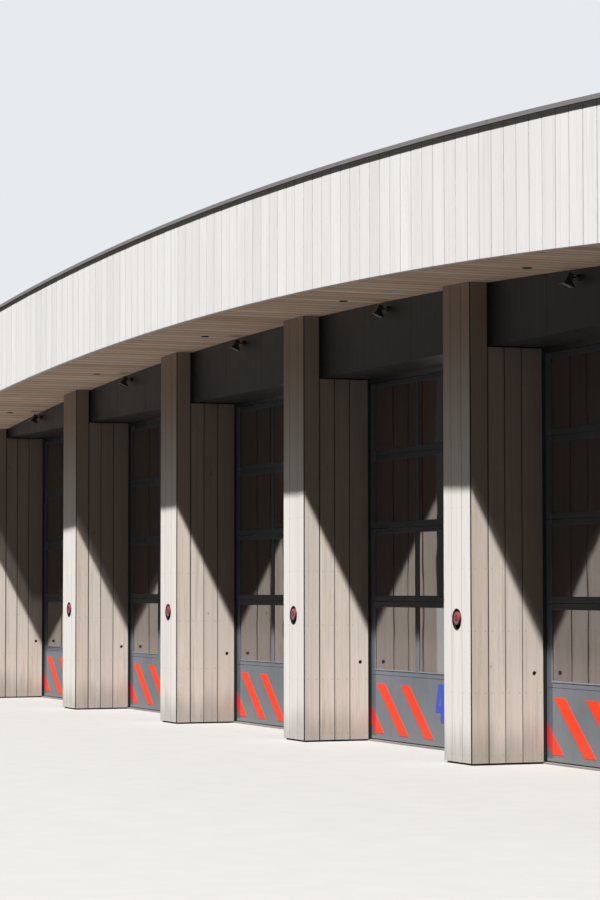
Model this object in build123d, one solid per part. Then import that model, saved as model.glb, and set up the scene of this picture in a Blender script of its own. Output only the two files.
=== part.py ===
from build123d import *
import math
import os

# Ambulance station: a straight row of six garage bays under one arched flat roof.
# Millimetres, +Z up, +X to the right seen from the doors, the doors face -Y.
# The origin is the middle of the plan at ground level.

# Bays, counted from the left
BAYS = 6
BAY_PITCH = 3835
BODY_DEPTH = 10000
WALL = 300

# Fins: a boarded box in front of a narrower post, with a shadow gap under the lintel
FIN_WIDTH = 565
FIN_DEPTH = 695
POST_WIDTH = 240
POST_DEPTH = 300
BOARD = 22
FOOT_GAP = 15
HEAD_GAP = 12

# Roof: soffit, fascia, coping and deck all follow one arc, highest over the middle fin
CROWN = 4274
ARCH_RADIUS = 126650
OVERHANG = 930
FASCIA_HEIGHT = 1046
FASCIA_THICK = 60
SOFFIT_THICK = 30
PARAPET_THICK = 100
COPING_HEIGHT = 36
COPING_LIP = 24
DECK_THICK = 160
DECK_DROP = 150

# Doorways
SLAB_TOP = 15
LINTEL_BOTTOM = 3654
LINTEL_SETBACK = 184
LINTEL_PANELS = 3
LINTEL_JOINT = 6
DOOR_SETBACK = 36
DOOR_THICK = 45
HEAD_STRIP = 15
DOOR_TOP = 3604
LEAF_LAP = 45
SIDE_GAP = 5

# Door leaf: one plain section below four glazed sections
SEAL_HEIGHT = 12
SEAL_THICK = 30
SHOE_HEIGHT = 24
SHOE_PROUD = 3
PLAIN_SECTION_TOP = 669
GLAZED_SECTIONS = 4
PANES = 3
STILE = 150
MULLION = 90
RAIL = 56
SECTION_GAP = 4
GLASS_THICK = 20
GLASS_SETBACK = 4

# Lamps, turned as prisms of many sides, fewer on the small ones
LAMP_SIDES = 24
SMALL_SIDES = 16
BEACON_HEIGHT = 1260
BEACON_DIAMETER = 194
BEACON_ASIDE = 18
BEACON_DEPTH = 80
BEZEL_WALL = 7
LENS_DIAMETER = 118
LENS_FACE = 112
LENS_DEPTH = 70
LENS_RISE = 12
PHOTOCELL_HEIGHT = 790
PHOTOCELL_BACK = 608
PHOTOCELL_DIAMETER = 40
PHOTOCELL_DEPTH = 30
PHOTOCELL_THICK = 18
DOWNLIGHT_DIAMETER = 88
DOWNLIGHT_OUT = 220
DOWNLIGHT_ASIDE = 110
DOWNLIGHT_SETBACK = 12
SPOT_DROP = 76
SPOT_BOX_DIAMETER = 56
SPOT_BOX_DEPTH = 34
SPOT_OUT = 94
SPOT_LENGTH = 112
SPOT_NECK = 44
SPOT_MOUTH = 104
SPOT_TILT = 21
SPOT_ASIDE = 30
YOKE = 6

# Worked out from the sizes above
FINS = BAYS + 1
HALF_LENGTH = BAYS * BAY_PITCH / 2 + FIN_WIDTH / 2
FRONT = -BODY_DEPTH / 2
REAR = BODY_DEPTH / 2
FIN_BACK = FRONT + FIN_DEPTH
POST_BACK = FIN_BACK + POST_DEPTH
LINTEL_FRONT = FRONT + LINTEL_SETBACK
DOOR_FRONT = FIN_BACK + DOOR_SETBACK
DOOR_BACK = DOOR_FRONT + DOOR_THICK
OPENING = BAY_PITCH - FIN_WIDTH
BETWEEN_POSTS = BAY_PITCH - POST_WIDTH
LEAF_WIDTH = OPENING + 2 * LEAF_LAP
LEAF_FOOT = SLAB_TOP + SEAL_HEIGHT
ROOF_X = HALF_LENGTH + OVERHANG
ROOF_Y = BODY_DEPTH / 2 + OVERHANG
SECTION = (DOOR_TOP - PLAIN_SECTION_TOP) / GLAZED_SECTIONS
PANE_WIDTH = (LEAF_WIDTH - 2 * STILE - (PANES - 1) * MULLION) / PANES
FIN_X = [(i - BAYS / 2) * BAY_PITCH for i in range(FINS)]
BAY_X = [(i - (BAYS - 1) / 2) * BAY_PITCH for i in range(BAYS)]


def roof_line(x):
    """Height of the arched soffit above the ground at x."""
    return CROWN - ARCH_RADIUS + math.sqrt(ARCH_RADIUS**2 - x**2)


def roof_arc(x_left, x_right, lift=0):
    """Arc along the roof line between two places, moved up by lift."""
    places = (x_left, (x_left + x_right) / 2, x_right)
    return ThreePointArc(*[(x, roof_line(x) + lift) for x in places])


def run_back(edges, y_front, y_back):
    """Solid whose outline lies in the X-Z plane, run from y_front to y_back."""
    face = make_face(edges)
    return extrude(Plane.XZ.offset(-y_front) * face, y_back - y_front, dir=(0, 1, 0))


def block(x_left, x_right, y_front, y_back, z_low, z_high):
    """Plain box given by its six faces."""
    size = (x_right - x_left, y_back - y_front, z_high - z_low)
    centre = ((x_left + x_right) / 2, (y_front + y_back) / 2, (z_low + z_high) / 2)
    return Pos(*centre) * Box(*size)


def under_roof(x_left, x_right, y_front, y_back, z_low):
    """Upright block with a level foot and an arched head that meets the soffit."""
    head = roof_arc(x_left, x_right)
    foot = Line((x_left, z_low), (x_right, z_low))
    left = Line((x_left, z_low), head @ 0)
    right = Line((x_right, z_low), head @ 1)
    return run_back([foot, right, head, left], y_front, y_back)


def arched_plate(x_half, y_front, y_back, low, high):
    """Plate between two lifts of the roof line, the same to both sides of the middle."""
    bottom = roof_arc(-x_half, x_half, low)
    top = roof_arc(-x_half, x_half, high)
    left = Line(bottom @ 0, top @ 0)
    right = Line(bottom @ 1, top @ 1)
    return run_back([bottom, right, top, left], y_front, y_back)


def roof_ring(reach, width, low, high):
    """Ring round the roof edge, reach beyond the fascia and width across."""
    outer = (ROOF_X + reach, ROOF_Y + reach)
    inner = (outer[0] - width, outer[1] - width)
    plate = arched_plate(outer[0], -outer[1], outer[1], low, high)
    hole = block(-inner[0], inner[0], -inner[1], inner[1], 0, 2 * CROWN)
    return plate - hole


def plug(x, y, z, diameter, depth, facing, sides=LAMP_SIDES):
    """Many-sided plug whose outer face is centred on a point and looks along facing."""
    place = Plane(origin=(x, y, z), x_dir=upright(facing), z_dir=facing)
    return extrude(place * RegularPolygon(diameter / 2, sides), -depth)


def upright(facing):
    """Direction at right angles to facing that keeps like plugs turned alike."""
    return (1, 0, 0) if facing[0] == 0 else (0, 1, 0)


def floor_slab():
    """Concrete floor of the hall, run out between the posts to carry the doors."""
    inside = HALF_LENGTH - WALL
    hall = block(-inside, inside, POST_BACK, REAR - WALL, 0, SLAB_TOP)
    half = BETWEEN_POSTS / 2
    sills = [block(x - half, x + half, FIN_BACK, POST_BACK, 0, SLAB_TOP) for x in BAY_X]
    return hall + sills


def fin(x):
    """Boarded box and the post behind it, on a recessed foot, with its lamp recess."""
    half = FIN_WIDTH / 2
    clad = under_roof(x - half, x + half, FRONT, FIN_BACK, FOOT_GAP)
    foot = block(x - half + BOARD, x + half - BOARD, FRONT + BOARD, FIN_BACK, 0, FOOT_GAP)
    left, right = x - POST_WIDTH / 2, x + POST_WIDTH / 2
    if x == FIN_X[0]:
        left = -HALF_LENGTH
    if x == FIN_X[-1]:
        right = HALF_LENGTH
    pier = clad + foot + under_roof(left, right, FIN_BACK, POST_BACK, 0)
    pier -= beacon_plug(x, BEACON_DIAMETER, BEACON_DEPTH)
    for side in open_sides(x):
        face = x + side * half
        near, far = sorted((face, face - side * BOARD))
        pier -= block(near, far, LINTEL_FRONT, FIN_BACK, LINTEL_BOTTOM - HEAD_GAP, LINTEL_BOTTOM)
        pier -= photocell_plug(x, side, 0, PHOTOCELL_DEPTH)
    return pier


def open_sides(x):
    """Sides of a fin that face a doorway, -1 for its left face and 1 for its right."""
    return [side for side in (-1, 1) if FIN_X[0] <= x + side * BAY_PITCH <= FIN_X[-1]]


def photocell_plug(x, side, inset, thick):
    """Round plug in one side of a fin, inset behind the boards and thick along its axis."""
    face = x + side * (FIN_WIDTH / 2 - inset)
    back = FRONT + PHOTOCELL_BACK
    return plug(face, back, PHOTOCELL_HEIGHT, PHOTOCELL_DIAMETER, thick, (side, 0, 0), SMALL_SIDES)


def photocells(x):
    """Sensor eyes at the bottom of their holes in the sides of one fin."""
    inset = PHOTOCELL_DEPTH - PHOTOCELL_THICK
    return Compound([photocell_plug(x, side, inset, PHOTOCELL_THICK).solid() for side in open_sides(x)])


def end_wall(side):
    """Boarded wall at one end of the hall, side -1 for the left and 1 for the right."""
    outer = side * HALF_LENGTH
    inner = side * (HALF_LENGTH - WALL)
    left, right = sorted((outer, inner))
    clad = under_roof(left, right, POST_BACK, REAR, FOOT_GAP)
    foot_left, foot_right = sorted((outer - side * BOARD, inner))
    return clad + block(foot_left, foot_right, POST_BACK, REAR - BOARD, 0, FOOT_GAP)


def rear_wall():
    """Plain boarded wall along the back, between the end walls."""
    half = HALF_LENGTH - WALL
    clad = under_roof(-half, half, REAR - WALL, REAR, FOOT_GAP)
    return clad + block(-half, half, REAR - WALL, REAR - BOARD, 0, FOOT_GAP)


def lintel(x):
    """Sheet-clad box over a doorway, level below, arched where it meets the soffit."""
    half = OPENING / 2
    box = under_roof(x - half, x + half, LINTEL_FRONT, FIN_BACK, LINTEL_BOTTOM)
    wide = BETWEEN_POSTS / 2
    box += under_roof(x - wide, x + wide, FIN_BACK, POST_BACK, LINTEL_BOTTOM)
    panel = OPENING / LINTEL_PANELS
    for number in range(1, LINTEL_PANELS):
        seam = x - half + number * panel
        left, right = seam - LINTEL_JOINT / 2, seam + LINTEL_JOINT / 2
        box -= block(left, right, LINTEL_FRONT, LINTEL_FRONT + LINTEL_JOINT, LINTEL_BOTTOM, 2 * CROWN)
    return box


def door_frame(x):
    """Dark strips down both sides and across the head of a doorway, in front of the leaf."""
    outer = BETWEEN_POSTS / 2
    inner = OPENING / 2
    left = block(x - outer, x - inner, FIN_BACK, DOOR_FRONT, SLAB_TOP, LINTEL_BOTTOM)
    right = block(x + inner, x + outer, FIN_BACK, DOOR_FRONT, SLAB_TOP, LINTEL_BOTTOM)
    head = block(x - inner, x + inner, DOOR_FRONT - HEAD_STRIP, DOOR_FRONT, DOOR_TOP, LINTEL_BOTTOM)
    return left + right + head


def bottom_seal(x):
    """Rubber seal between the sill and the lowest section."""
    half = LEAF_WIDTH / 2
    middle = (DOOR_FRONT + DOOR_BACK) / 2
    front, back = middle - SEAL_THICK / 2, middle + SEAL_THICK / 2
    return block(x - half, x + half, front, back, SLAB_TOP, LEAF_FOOT)


def plain_section(x):
    """Lowest section of a door, unglazed, with a metal shoe along its foot."""
    half = LEAF_WIDTH / 2
    panel = block(x - half, x + half, DOOR_FRONT, DOOR_BACK, LEAF_FOOT, PLAIN_SECTION_TOP - SECTION_GAP)
    half = OPENING / 2 - SIDE_GAP
    shoe = block(x - half, x + half, DOOR_FRONT - SHOE_PROUD, DOOR_FRONT, LEAF_FOOT, LEAF_FOOT + SHOE_HEIGHT)
    return panel + shoe


def pane_lefts(x):
    """Left edge of each pane across one door."""
    start = x - LEAF_WIDTH / 2 + STILE
    return [start + column * (PANE_WIDTH + MULLION) for column in range(PANES)]


def glazed_section(x, row):
    """One framed section, cut through for its panes."""
    half = LEAF_WIDTH / 2
    low = PLAIN_SECTION_TOP + row * SECTION
    high = low + SECTION
    frame = block(x - half, x + half, DOOR_FRONT, DOOR_BACK, low, high - SECTION_GAP)
    for left in pane_lefts(x):
        frame -= block(left, left + PANE_WIDTH, DOOR_FRONT, DOOR_BACK, low + RAIL, high - RAIL)
    return frame


def door_leaf(x):
    """Sectional door: five sections that stand on each other with open joints."""
    sections = [plain_section(x)] + [glazed_section(x, row) for row in range(GLAZED_SECTIONS)]
    return Compound([section.solid() for section in sections])


def door_glass(x):
    """Double-glazed panes of one door, set back in their frames."""
    front = DOOR_FRONT + GLASS_SETBACK
    panes = []
    for row in range(GLAZED_SECTIONS):
        low = PLAIN_SECTION_TOP + row * SECTION + RAIL
        high = low + SECTION - 2 * RAIL
        for left in pane_lefts(x):
            panes.append(block(left, left + PANE_WIDTH, front, front + GLASS_THICK, low, high).solid())
    return Compound(panes)


def soffit():
    """Boarded underside of the roof, which is also the ceiling of the hall."""
    half = ROOF_X - FASCIA_THICK
    deep = ROOF_Y - FASCIA_THICK
    plate = arched_plate(half, -deep, deep, 0, SOFFIT_THICK)
    return plate - [downlight_plug(x, -SOFFIT_THICK, 2 * SOFFIT_THICK) for x in BAY_X]


def downlight_plug(x, low, high):
    """Plug of one recessed lamp between two lifts of the soffit line."""
    place = x - DOWNLIGHT_ASIDE
    z = roof_line(place)
    return plug(place, FRONT - DOWNLIGHT_OUT, z + low, DOWNLIGHT_DIAMETER, high - low, (0, 0, -1), SMALL_SIDES)


def downlight(x):
    """Dark face of one recessed soffit lamp."""
    return downlight_plug(x, DOWNLIGHT_SETBACK, SOFFIT_THICK)


def long_fascia(side):
    """Arched board fascia along the front (-1) or the rear (1) edge of the roof."""
    near, far = sorted((side * ROOF_Y, side * (ROOF_Y - FASCIA_THICK)))
    return arched_plate(ROOF_X, near, far, 0, FASCIA_HEIGHT)


def end_fascia(side):
    """Board fascia across the left (-1) or right (1) end of the roof."""
    outer = side * ROOF_X
    inner = side * (ROOF_X - FASCIA_THICK)
    left, right = sorted((outer, inner))
    deep = ROOF_Y - FASCIA_THICK
    bottom = roof_arc(left, right)
    top = roof_arc(left, right, FASCIA_HEIGHT)
    return run_back([bottom, Line(bottom @ 1, top @ 1), top, Line(bottom @ 0, top @ 0)], -deep, deep)


def parapet():
    """Upstand behind the fascia boards, from the roof deck to the coping."""
    return roof_ring(-FASCIA_THICK, PARAPET_THICK, FASCIA_HEIGHT - DECK_DROP, FASCIA_HEIGHT)


def coping():
    """Sheet-metal cap round the edge of the roof that overhangs the boards and the parapet."""
    width = COPING_LIP + FASCIA_THICK + PARAPET_THICK + COPING_LIP
    return roof_ring(COPING_LIP, width, FASCIA_HEIGHT, FASCIA_HEIGHT + COPING_HEIGHT)


def roof_deck():
    """Arched roof surface, sunk behind the fascia."""
    half = ROOF_X - FASCIA_THICK
    deep = ROOF_Y - FASCIA_THICK
    return arched_plate(half, -deep, deep, FASCIA_HEIGHT - DECK_DROP - DECK_THICK, FASCIA_HEIGHT - DECK_DROP)


def beacon_plug(x, diameter, depth):
    """Round plug behind the front of a fin, centred on its middle board."""
    return plug(x - BEACON_ASIDE, FRONT, BEACON_HEIGHT, diameter, depth, (0, -1, 0))


def beacon_bezel(x):
    """Dark cup that lines the round recess in the front of a fin."""
    bore = BEACON_DIAMETER - 2 * BEZEL_WALL
    cup = beacon_plug(x, BEACON_DIAMETER, BEACON_DEPTH)
    return cup - beacon_plug(x, bore, BEACON_DEPTH - BEZEL_WALL)


def beacon_lens(x):
    """Red lens that tapers out from the floor of the recess, a little above its middle."""
    floor = FRONT + BEACON_DEPTH - BEZEL_WALL
    centre = (x - BEACON_ASIDE, floor, BEACON_HEIGHT + LENS_RISE)
    place = Plane(origin=centre, x_dir=(1, 0, 0), z_dir=(0, -1, 0))
    narrowing = math.degrees(math.atan((LENS_DIAMETER - LENS_FACE) / 2 / LENS_DEPTH))
    return extrude(place * RegularPolygon(LENS_DIAMETER / 2, LAMP_SIDES), LENS_DEPTH, taper=narrowing)


def spot_head():
    """Flared lamp head pointing down, its pivot at the origin a third of the way from its neck."""
    narrowing = math.degrees(math.atan((SPOT_MOUTH - SPOT_NECK) / 2 / SPOT_LENGTH))
    mouth = Pos(0, 0, -2 * SPOT_LENGTH / 3) * Rectangle(SPOT_MOUTH, SPOT_MOUTH)
    return extrude(mouth, SPOT_LENGTH, taper=narrowing)


def spotlight(bay):
    """Floodlight on a round box and yoke, high on the face of a lintel, right of its middle."""
    x = bay + SPOT_ASIDE
    z = roof_line(x) - SPOT_DROP
    front = LINTEL_FRONT - SPOT_BOX_DEPTH
    box = plug(x, front, z, SPOT_BOX_DIAMETER, SPOT_BOX_DEPTH, (0, -1, 0), SMALL_SIDES)
    pivot = LINTEL_FRONT - SPOT_OUT
    head = Pos(x, pivot, z) * Rot(-SPOT_TILT, 0, 0) * spot_head()
    arm = block(x - SPOT_NECK / 4, x + SPOT_NECK / 4, pivot, front, z - YOKE, z + YOKE)
    return box + arm + head


def save(name, shape):
    """Write one piece of the building."""
    export_step(shape, f"parts/{name}.step")


def save_row(name, make, places):
    """Write like pieces that stand apart as one node."""
    save(name, Compound([solid for x in places for solid in make(x).solids()]))


def main():
    os.makedirs("parts", exist_ok=True)
    save("floor_slab", floor_slab())
    for number, x in enumerate(FIN_X, 1):
        save(f"fin_{number}", fin(x))
    save("end_wall_left", end_wall(-1))
    save("end_wall_right", end_wall(1))
    save("rear_wall", rear_wall())
    for number, x in enumerate(BAY_X, 1):
        save(f"lintel_{number}", lintel(x))
        save(f"door_{number}_leaf", door_leaf(x))
        save(f"door_{number}_glass", door_glass(x))
    save_row("door_frames", door_frame, BAY_X)
    save_row("door_bottom_seals", bottom_seal, BAY_X)
    save("soffit", soffit())
    save("fascia_front", long_fascia(-1))
    save("fascia_rear", long_fascia(1))
    save("fascia_left", end_fascia(-1))
    save("fascia_right", end_fascia(1))
    save("parapet", parapet())
    save("coping", coping())
    save("roof_deck", roof_deck())
    save_row("beacon_bezels", beacon_bezel, FIN_X)
    save_row("beacon_lenses", beacon_lens, FIN_X)
    save_row("photocells", photocells, FIN_X)
    save_row("downlights", downlight, BAY_X)
    save_row("spotlights", spotlight, BAY_X)


main()
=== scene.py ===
"""Ambulance station: cladding, doors, lamps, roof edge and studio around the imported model."""

import logging
import math
import random
from dataclasses import dataclass, field, replace
from enum import Enum
from itertools import cycle
from typing import Callable, Iterable, Sequence

import bpy
import numpy as np
from mathutils import Matrix, Vector


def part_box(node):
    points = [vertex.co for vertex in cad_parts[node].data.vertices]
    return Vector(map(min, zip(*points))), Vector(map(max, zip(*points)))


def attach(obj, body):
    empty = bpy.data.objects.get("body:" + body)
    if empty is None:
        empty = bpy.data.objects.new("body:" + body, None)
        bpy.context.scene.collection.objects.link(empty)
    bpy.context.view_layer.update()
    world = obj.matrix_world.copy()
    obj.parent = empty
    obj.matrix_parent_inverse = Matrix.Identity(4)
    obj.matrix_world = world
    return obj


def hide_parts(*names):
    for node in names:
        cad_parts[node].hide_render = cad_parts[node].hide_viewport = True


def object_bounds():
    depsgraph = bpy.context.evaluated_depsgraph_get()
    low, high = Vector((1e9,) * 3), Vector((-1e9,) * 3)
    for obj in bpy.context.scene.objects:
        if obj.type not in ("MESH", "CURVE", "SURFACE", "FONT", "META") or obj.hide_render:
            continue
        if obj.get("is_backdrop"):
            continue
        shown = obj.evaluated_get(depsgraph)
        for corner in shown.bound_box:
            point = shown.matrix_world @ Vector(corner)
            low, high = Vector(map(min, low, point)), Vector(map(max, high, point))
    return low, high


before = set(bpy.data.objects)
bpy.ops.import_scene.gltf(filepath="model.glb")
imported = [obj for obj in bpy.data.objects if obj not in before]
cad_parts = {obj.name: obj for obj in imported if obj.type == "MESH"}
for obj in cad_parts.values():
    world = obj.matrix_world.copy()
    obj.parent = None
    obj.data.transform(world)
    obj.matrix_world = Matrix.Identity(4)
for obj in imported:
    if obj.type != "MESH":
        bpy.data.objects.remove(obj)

log = logging.getLogger("station")

Colour = tuple[float, float, float]
Test = Callable[[Vector, Vector], bool]

# Attribute of a board's face corners: distance from its left edge, from its right edge, and tone
BOARD_MARK = "board_mark"
# Places nearer to each other than this count as one, in metres
CLOSE = 0.0004
# Least part of its normal that a face square on to a direction has along it
SQUARE = 0.9
RIGHT, BACK, UP = Vector((1, 0, 0)), Vector((0, 1, 0)), Vector((0, 0, 1))
# Turns of an upright cylinder
UPRIGHT, TO_THE_SIDE, TO_THE_BACK = (0, 0, 0), (0, math.pi / 2, 0), (math.pi / 2, 0, 0)
# Distance from the middle of the plan to the fascia's faces, sideways and to the front
ROOF_REACH = tuple(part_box("fascia_front")[0].xy * -1)


def looks(way: Vector, beyond: float = -math.inf, share: float = SQUARE) -> Test:
    """Test for faces that look one way.

    Args:
        way: The direction.
        beyond: Least distance of a face's centre along it.
        share: Least part of its normal along it.

    Returns:
        The test.
    """
    return lambda centre, normal: normal.dot(way) > share and centre.dot(way) > beyond


class Facing(Enum):
    """Way that a boarded face looks, as directions across its boards, into it and along them."""

    FRONT = ((1, 0, 0), (0, 1, 0), (0, 0, 1))
    REAR = ((-1, 0, 0), (0, -1, 0), (0, 0, 1))
    LEFT = ((0, -1, 0), (1, 0, 0), (0, 0, 1))
    RIGHT = ((0, 1, 0), (-1, 0, 0), (0, 0, 1))
    DOWN = ((1, 0, 0), (0, 0, 1), (0, -1, 0))

    @property
    def out(self) -> Vector:
        """Direction away from the face."""
        return -Vector(self.value[1])

    @property
    def along_x(self) -> bool:
        """Whether its boards lie side by side along x."""
        return bool(self.value[0][0])

    @property
    def runs_back(self) -> bool:
        """Whether the direction across the boards goes down the axis."""
        return sum(self.value[0]) < 0

    def plane(self, name: str) -> float:
        """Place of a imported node's side that looks this way, along its axis."""
        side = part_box(name)[sum(self.out) > 0]
        return side.y if self.along_x else side.x

    def turned(self, corner: Vector) -> Matrix:
        """Matrix that brings a board from the bench to this face.

        Args:
            corner: Place of the board's first outer corner.

        Returns:
            The turn and the move as one matrix.
        """
        turn = Matrix([Vector(column) for column in self.value]).transposed().to_4x4()
        return Matrix.Translation(corner) @ turn


class Grain(Enum):
    """Axis that the fibres of a board follow."""

    UPRIGHT = 2
    INWARD = 1

    def stretch(self, across: float, along: float) -> Colour:
        """Texture scale with few repeats along the fibres and many across them.

        Args:
            across: Repeats for each metre across the fibres.
            along: Repeats for each metre along them.

        Returns:
            The scale along x, y and z.
        """
        scale = [across] * 3
        scale[self.value] = along
        return tuple(scale)


@dataclass(frozen=True)
class RoofArc:
    """Low arch that the soffit, the fascia and the coping follow."""

    crown: float
    radius: float

    @classmethod
    def measured(cls) -> "RoofArc":
        """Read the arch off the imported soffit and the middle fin.

        Returns:
            The arch.
        """
        low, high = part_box("soffit")
        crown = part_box("fin_4")[1].z
        drop = crown - low.z
        return cls(crown, (high.x ** 2 + drop ** 2) / (2 * drop))

    def height(self, x: float) -> float:
        """Height of the soffit at x."""
        return self.crown - self.radius + math.sqrt(self.radius ** 2 - x ** 2)

    def slope(self, x: float) -> float:
        """Rise of the arch for each metre to the right."""
        return -x / math.sqrt(self.radius ** 2 - x ** 2)

    def leaning(self, x: float) -> Matrix:
        """Shift of heights that lays a level piece at x along the arch.

        Args:
            x: Place along the front.

        Returns:
            The shift.
        """
        lean = Matrix.Identity(4)
        lean[2][0] = self.slope(x)
        lean[2][3] = -self.slope(x) * x
        return lean


ROOF = RoofArc.measured()


class Signal:
    """A node's output socket, whose arithmetic adds Math nodes to its material."""

    def __init__(self, shader: "Shader", socket: bpy.types.NodeSocket) -> None:
        """Hold the socket and the material that it belongs to."""
        self.shader = shader
        self.socket = socket

    def other(self, name: str | int) -> "Signal":
        """Another output of the same node."""
        return Signal(self.shader, self.socket.node.outputs[name])

    def maths(self, operation: str, *values: "Signal | float") -> "Signal":
        """Add one Math node.

        Args:
            operation: The Math node's operation.
            values: Its inputs in order.

        Returns:
            The node's result.
        """
        inputs = dict(enumerate(values))
        return self.shader.node("ShaderNodeMath", {"operation": operation}, inputs)

    def __add__(self, other: "Signal | float") -> "Signal":
        """Sum."""
        return self.maths("ADD", self, other)

    __radd__ = __add__

    def __mul__(self, other: "Signal | float") -> "Signal":
        """Product."""
        return self.maths("MULTIPLY", self, other)

    __rmul__ = __mul__

    def __sub__(self, other: "Signal | float") -> "Signal":
        """Difference."""
        return self.maths("SUBTRACT", self, other)

    def __rsub__(self, other: float) -> "Signal":
        """Difference from a number."""
        return self.maths("SUBTRACT", other, self)

    def __abs__(self) -> "Signal":
        """Distance from zero."""
        return self.maths("ABSOLUTE", self)

    def fraction(self) -> "Signal":
        """What is left above the whole number."""
        return self.maths("FRACT", self)

    def root(self) -> "Signal":
        """Square root."""
        return self.maths("SQRT", self)

    def floor(self) -> "Signal":
        """Whole number below."""
        return self.maths("FLOOR", self)

    def lower(self, other: "Signal | float") -> "Signal":
        """The lower of two values."""
        return self.maths("MINIMUM", self, other)

    def higher(self, other: "Signal | float") -> "Signal":
        """The higher of two values."""
        return self.maths("MAXIMUM", self, other)

    def rise(self, low: float, high: float) -> "Signal":
        """Smooth step from 0 at low to 1 at high."""
        settings = {"interpolation_type": "SMOOTHSTEP"}
        return self.shader.node("ShaderNodeMapRange", settings, {0: self, 1: low, 2: high})

    def repeat(self, start: float, pitch: float) -> "Signal":
        """Signed distance to the nearest of a row of places.

        Args:
            start: One of the places.
            pitch: Distance between them.

        Returns:
            The distance, from minus to plus half a pitch.
        """
        turn = (self - start) * (1 / pitch) + 0.5
        return (turn.fraction() - 0.5) * pitch


class Shader:
    """A material or world under construction, with one method that adds any node."""

    def __init__(self, name: str, owner: bpy.types.ID | None = None) -> None:
        """Start from an empty node tree.

        Args:
            name: Name of the new material.
            owner: A world to build in instead of a new material.
        """
        self.owner = owner or bpy.data.materials.new(name)
        self.owner.use_nodes = True
        self.tree = self.owner.node_tree
        self.tree.nodes.clear()

    def node(self, kind: str, settings: dict | None = None, inputs: dict | None = None,
             out: str | int = 0) -> Signal:
        """Add a node.

        Args:
            kind: Blender's name for the type of node.
            settings: Its properties, set first.
            inputs: Values or signals by the name or number of their socket.
            out: The output that is wanted.

        Returns:
            That output.
        """
        made = self.tree.nodes.new(kind)
        for key, value in (settings or {}).items():
            setattr(made, key, value)
        for key, value in (inputs or {}).items():
            if isinstance(value, Signal):
                self.tree.links.new(value.socket, made.inputs[key])
            else:
                made.inputs[key].default_value = value
        return Signal(self, made.outputs[out] if made.outputs else None)

    def place(self) -> Signal:
        """Object coordinates of the point, in metres."""
        return self.node("ShaderNodeTexCoord", out="Object")

    def axes(self, vector: Signal) -> tuple[Signal, Signal, Signal]:
        """The three parts of a vector."""
        first = self.node("ShaderNodeSeparateXYZ", inputs={0: vector})
        return first, first.other(1), first.other(2)

    def join(self, x: Signal | float, y: Signal | float, z: Signal | float) -> Signal:
        """A vector of three values."""
        return self.node("ShaderNodeCombineXYZ", inputs={0: x, 1: y, 2: z})

    def vector(self, operation: str, first: Signal, second: Signal | Colour) -> Signal:
        """One Vector Math node on two vectors."""
        return self.node("ShaderNodeVectorMath", {"operation": operation}, {0: first, 1: second})

    def noise(self, place: Signal, scale: float | Colour, detail: float = 4.0,
              roughness: float = 0.55, distortion: float = 0.0) -> Signal:
        """Noise spread over about 0 to 1.

        Args:
            place: The point to read.
            scale: Repeats for each metre, one for all axes or one for each.
            detail: Octaves.
            roughness: Share that each finer octave keeps.
            distortion: Strength of the swirl.

        Returns:
            The noise, stretched so that it fills its range.
        """
        if isinstance(scale, tuple):
            place = self.vector("MULTIPLY", place, scale)
            scale = 1.0
        inputs = {"Vector": place, "Scale": scale, "Detail": detail, "Roughness": roughness,
                  "Distortion": distortion}
        return self.node("ShaderNodeTexNoise", inputs=inputs).rise(0.28, 0.72)

    def blend(self, share: Signal | float, first: Signal | Colour,
              second: Signal | Colour) -> Signal:
        """Colour between two colours."""
        inputs = {0: share, 6: self._rgba(first), 7: self._rgba(second)}
        return self.node("ShaderNodeMix", {"data_type": "RGBA"}, inputs, out=2)

    def _rgba(self, colour: Signal | Colour) -> Signal | tuple[float, ...]:
        """A colour as its socket wants it."""
        return colour if isinstance(colour, Signal) else (*colour, 1.0)

    def bump(self, height: Signal, distance: float, strength: float = 1.0) -> Signal:
        """Normal of a surface with that height.

        Args:
            height: Height from 0 to 1.
            distance: What a height of 1 stands for, in metres.
            strength: How much of it shows.

        Returns:
            The normal.
        """
        inputs = {"Height": height, "Distance": distance, "Strength": strength}
        return self.node("ShaderNodeBump", inputs=inputs)

    def close(self, colour: Signal | Colour, **inputs: Signal | float) -> bpy.types.Material:
        """End the material in a Principled shader.

        Args:
            colour: Base colour.
            inputs: Other sockets by their name in small letters with underscores.

        Returns:
            The material.
        """
        named = {key.replace("_", " ").title(): value for key, value in inputs.items()}
        named = {key.replace("Ior", "IOR"): value for key, value in named.items()}
        named["Base Color"] = self._rgba(colour)
        surface = self.node("ShaderNodeBsdfPrincipled", inputs=named)
        self.node("ShaderNodeOutputMaterial", inputs={"Surface": surface})
        return self.owner


@dataclass(frozen=True)
class Finish:
    """What every finish has: a name and a material that is made once."""

    name: str

    def material(self) -> bpy.types.Material:
        """The finish's material, made on first use."""
        return bpy.data.materials.get(self.name) or self.mix()

    def mix(self) -> bpy.types.Material:
        """Make the material."""
        raise NotImplementedError


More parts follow.
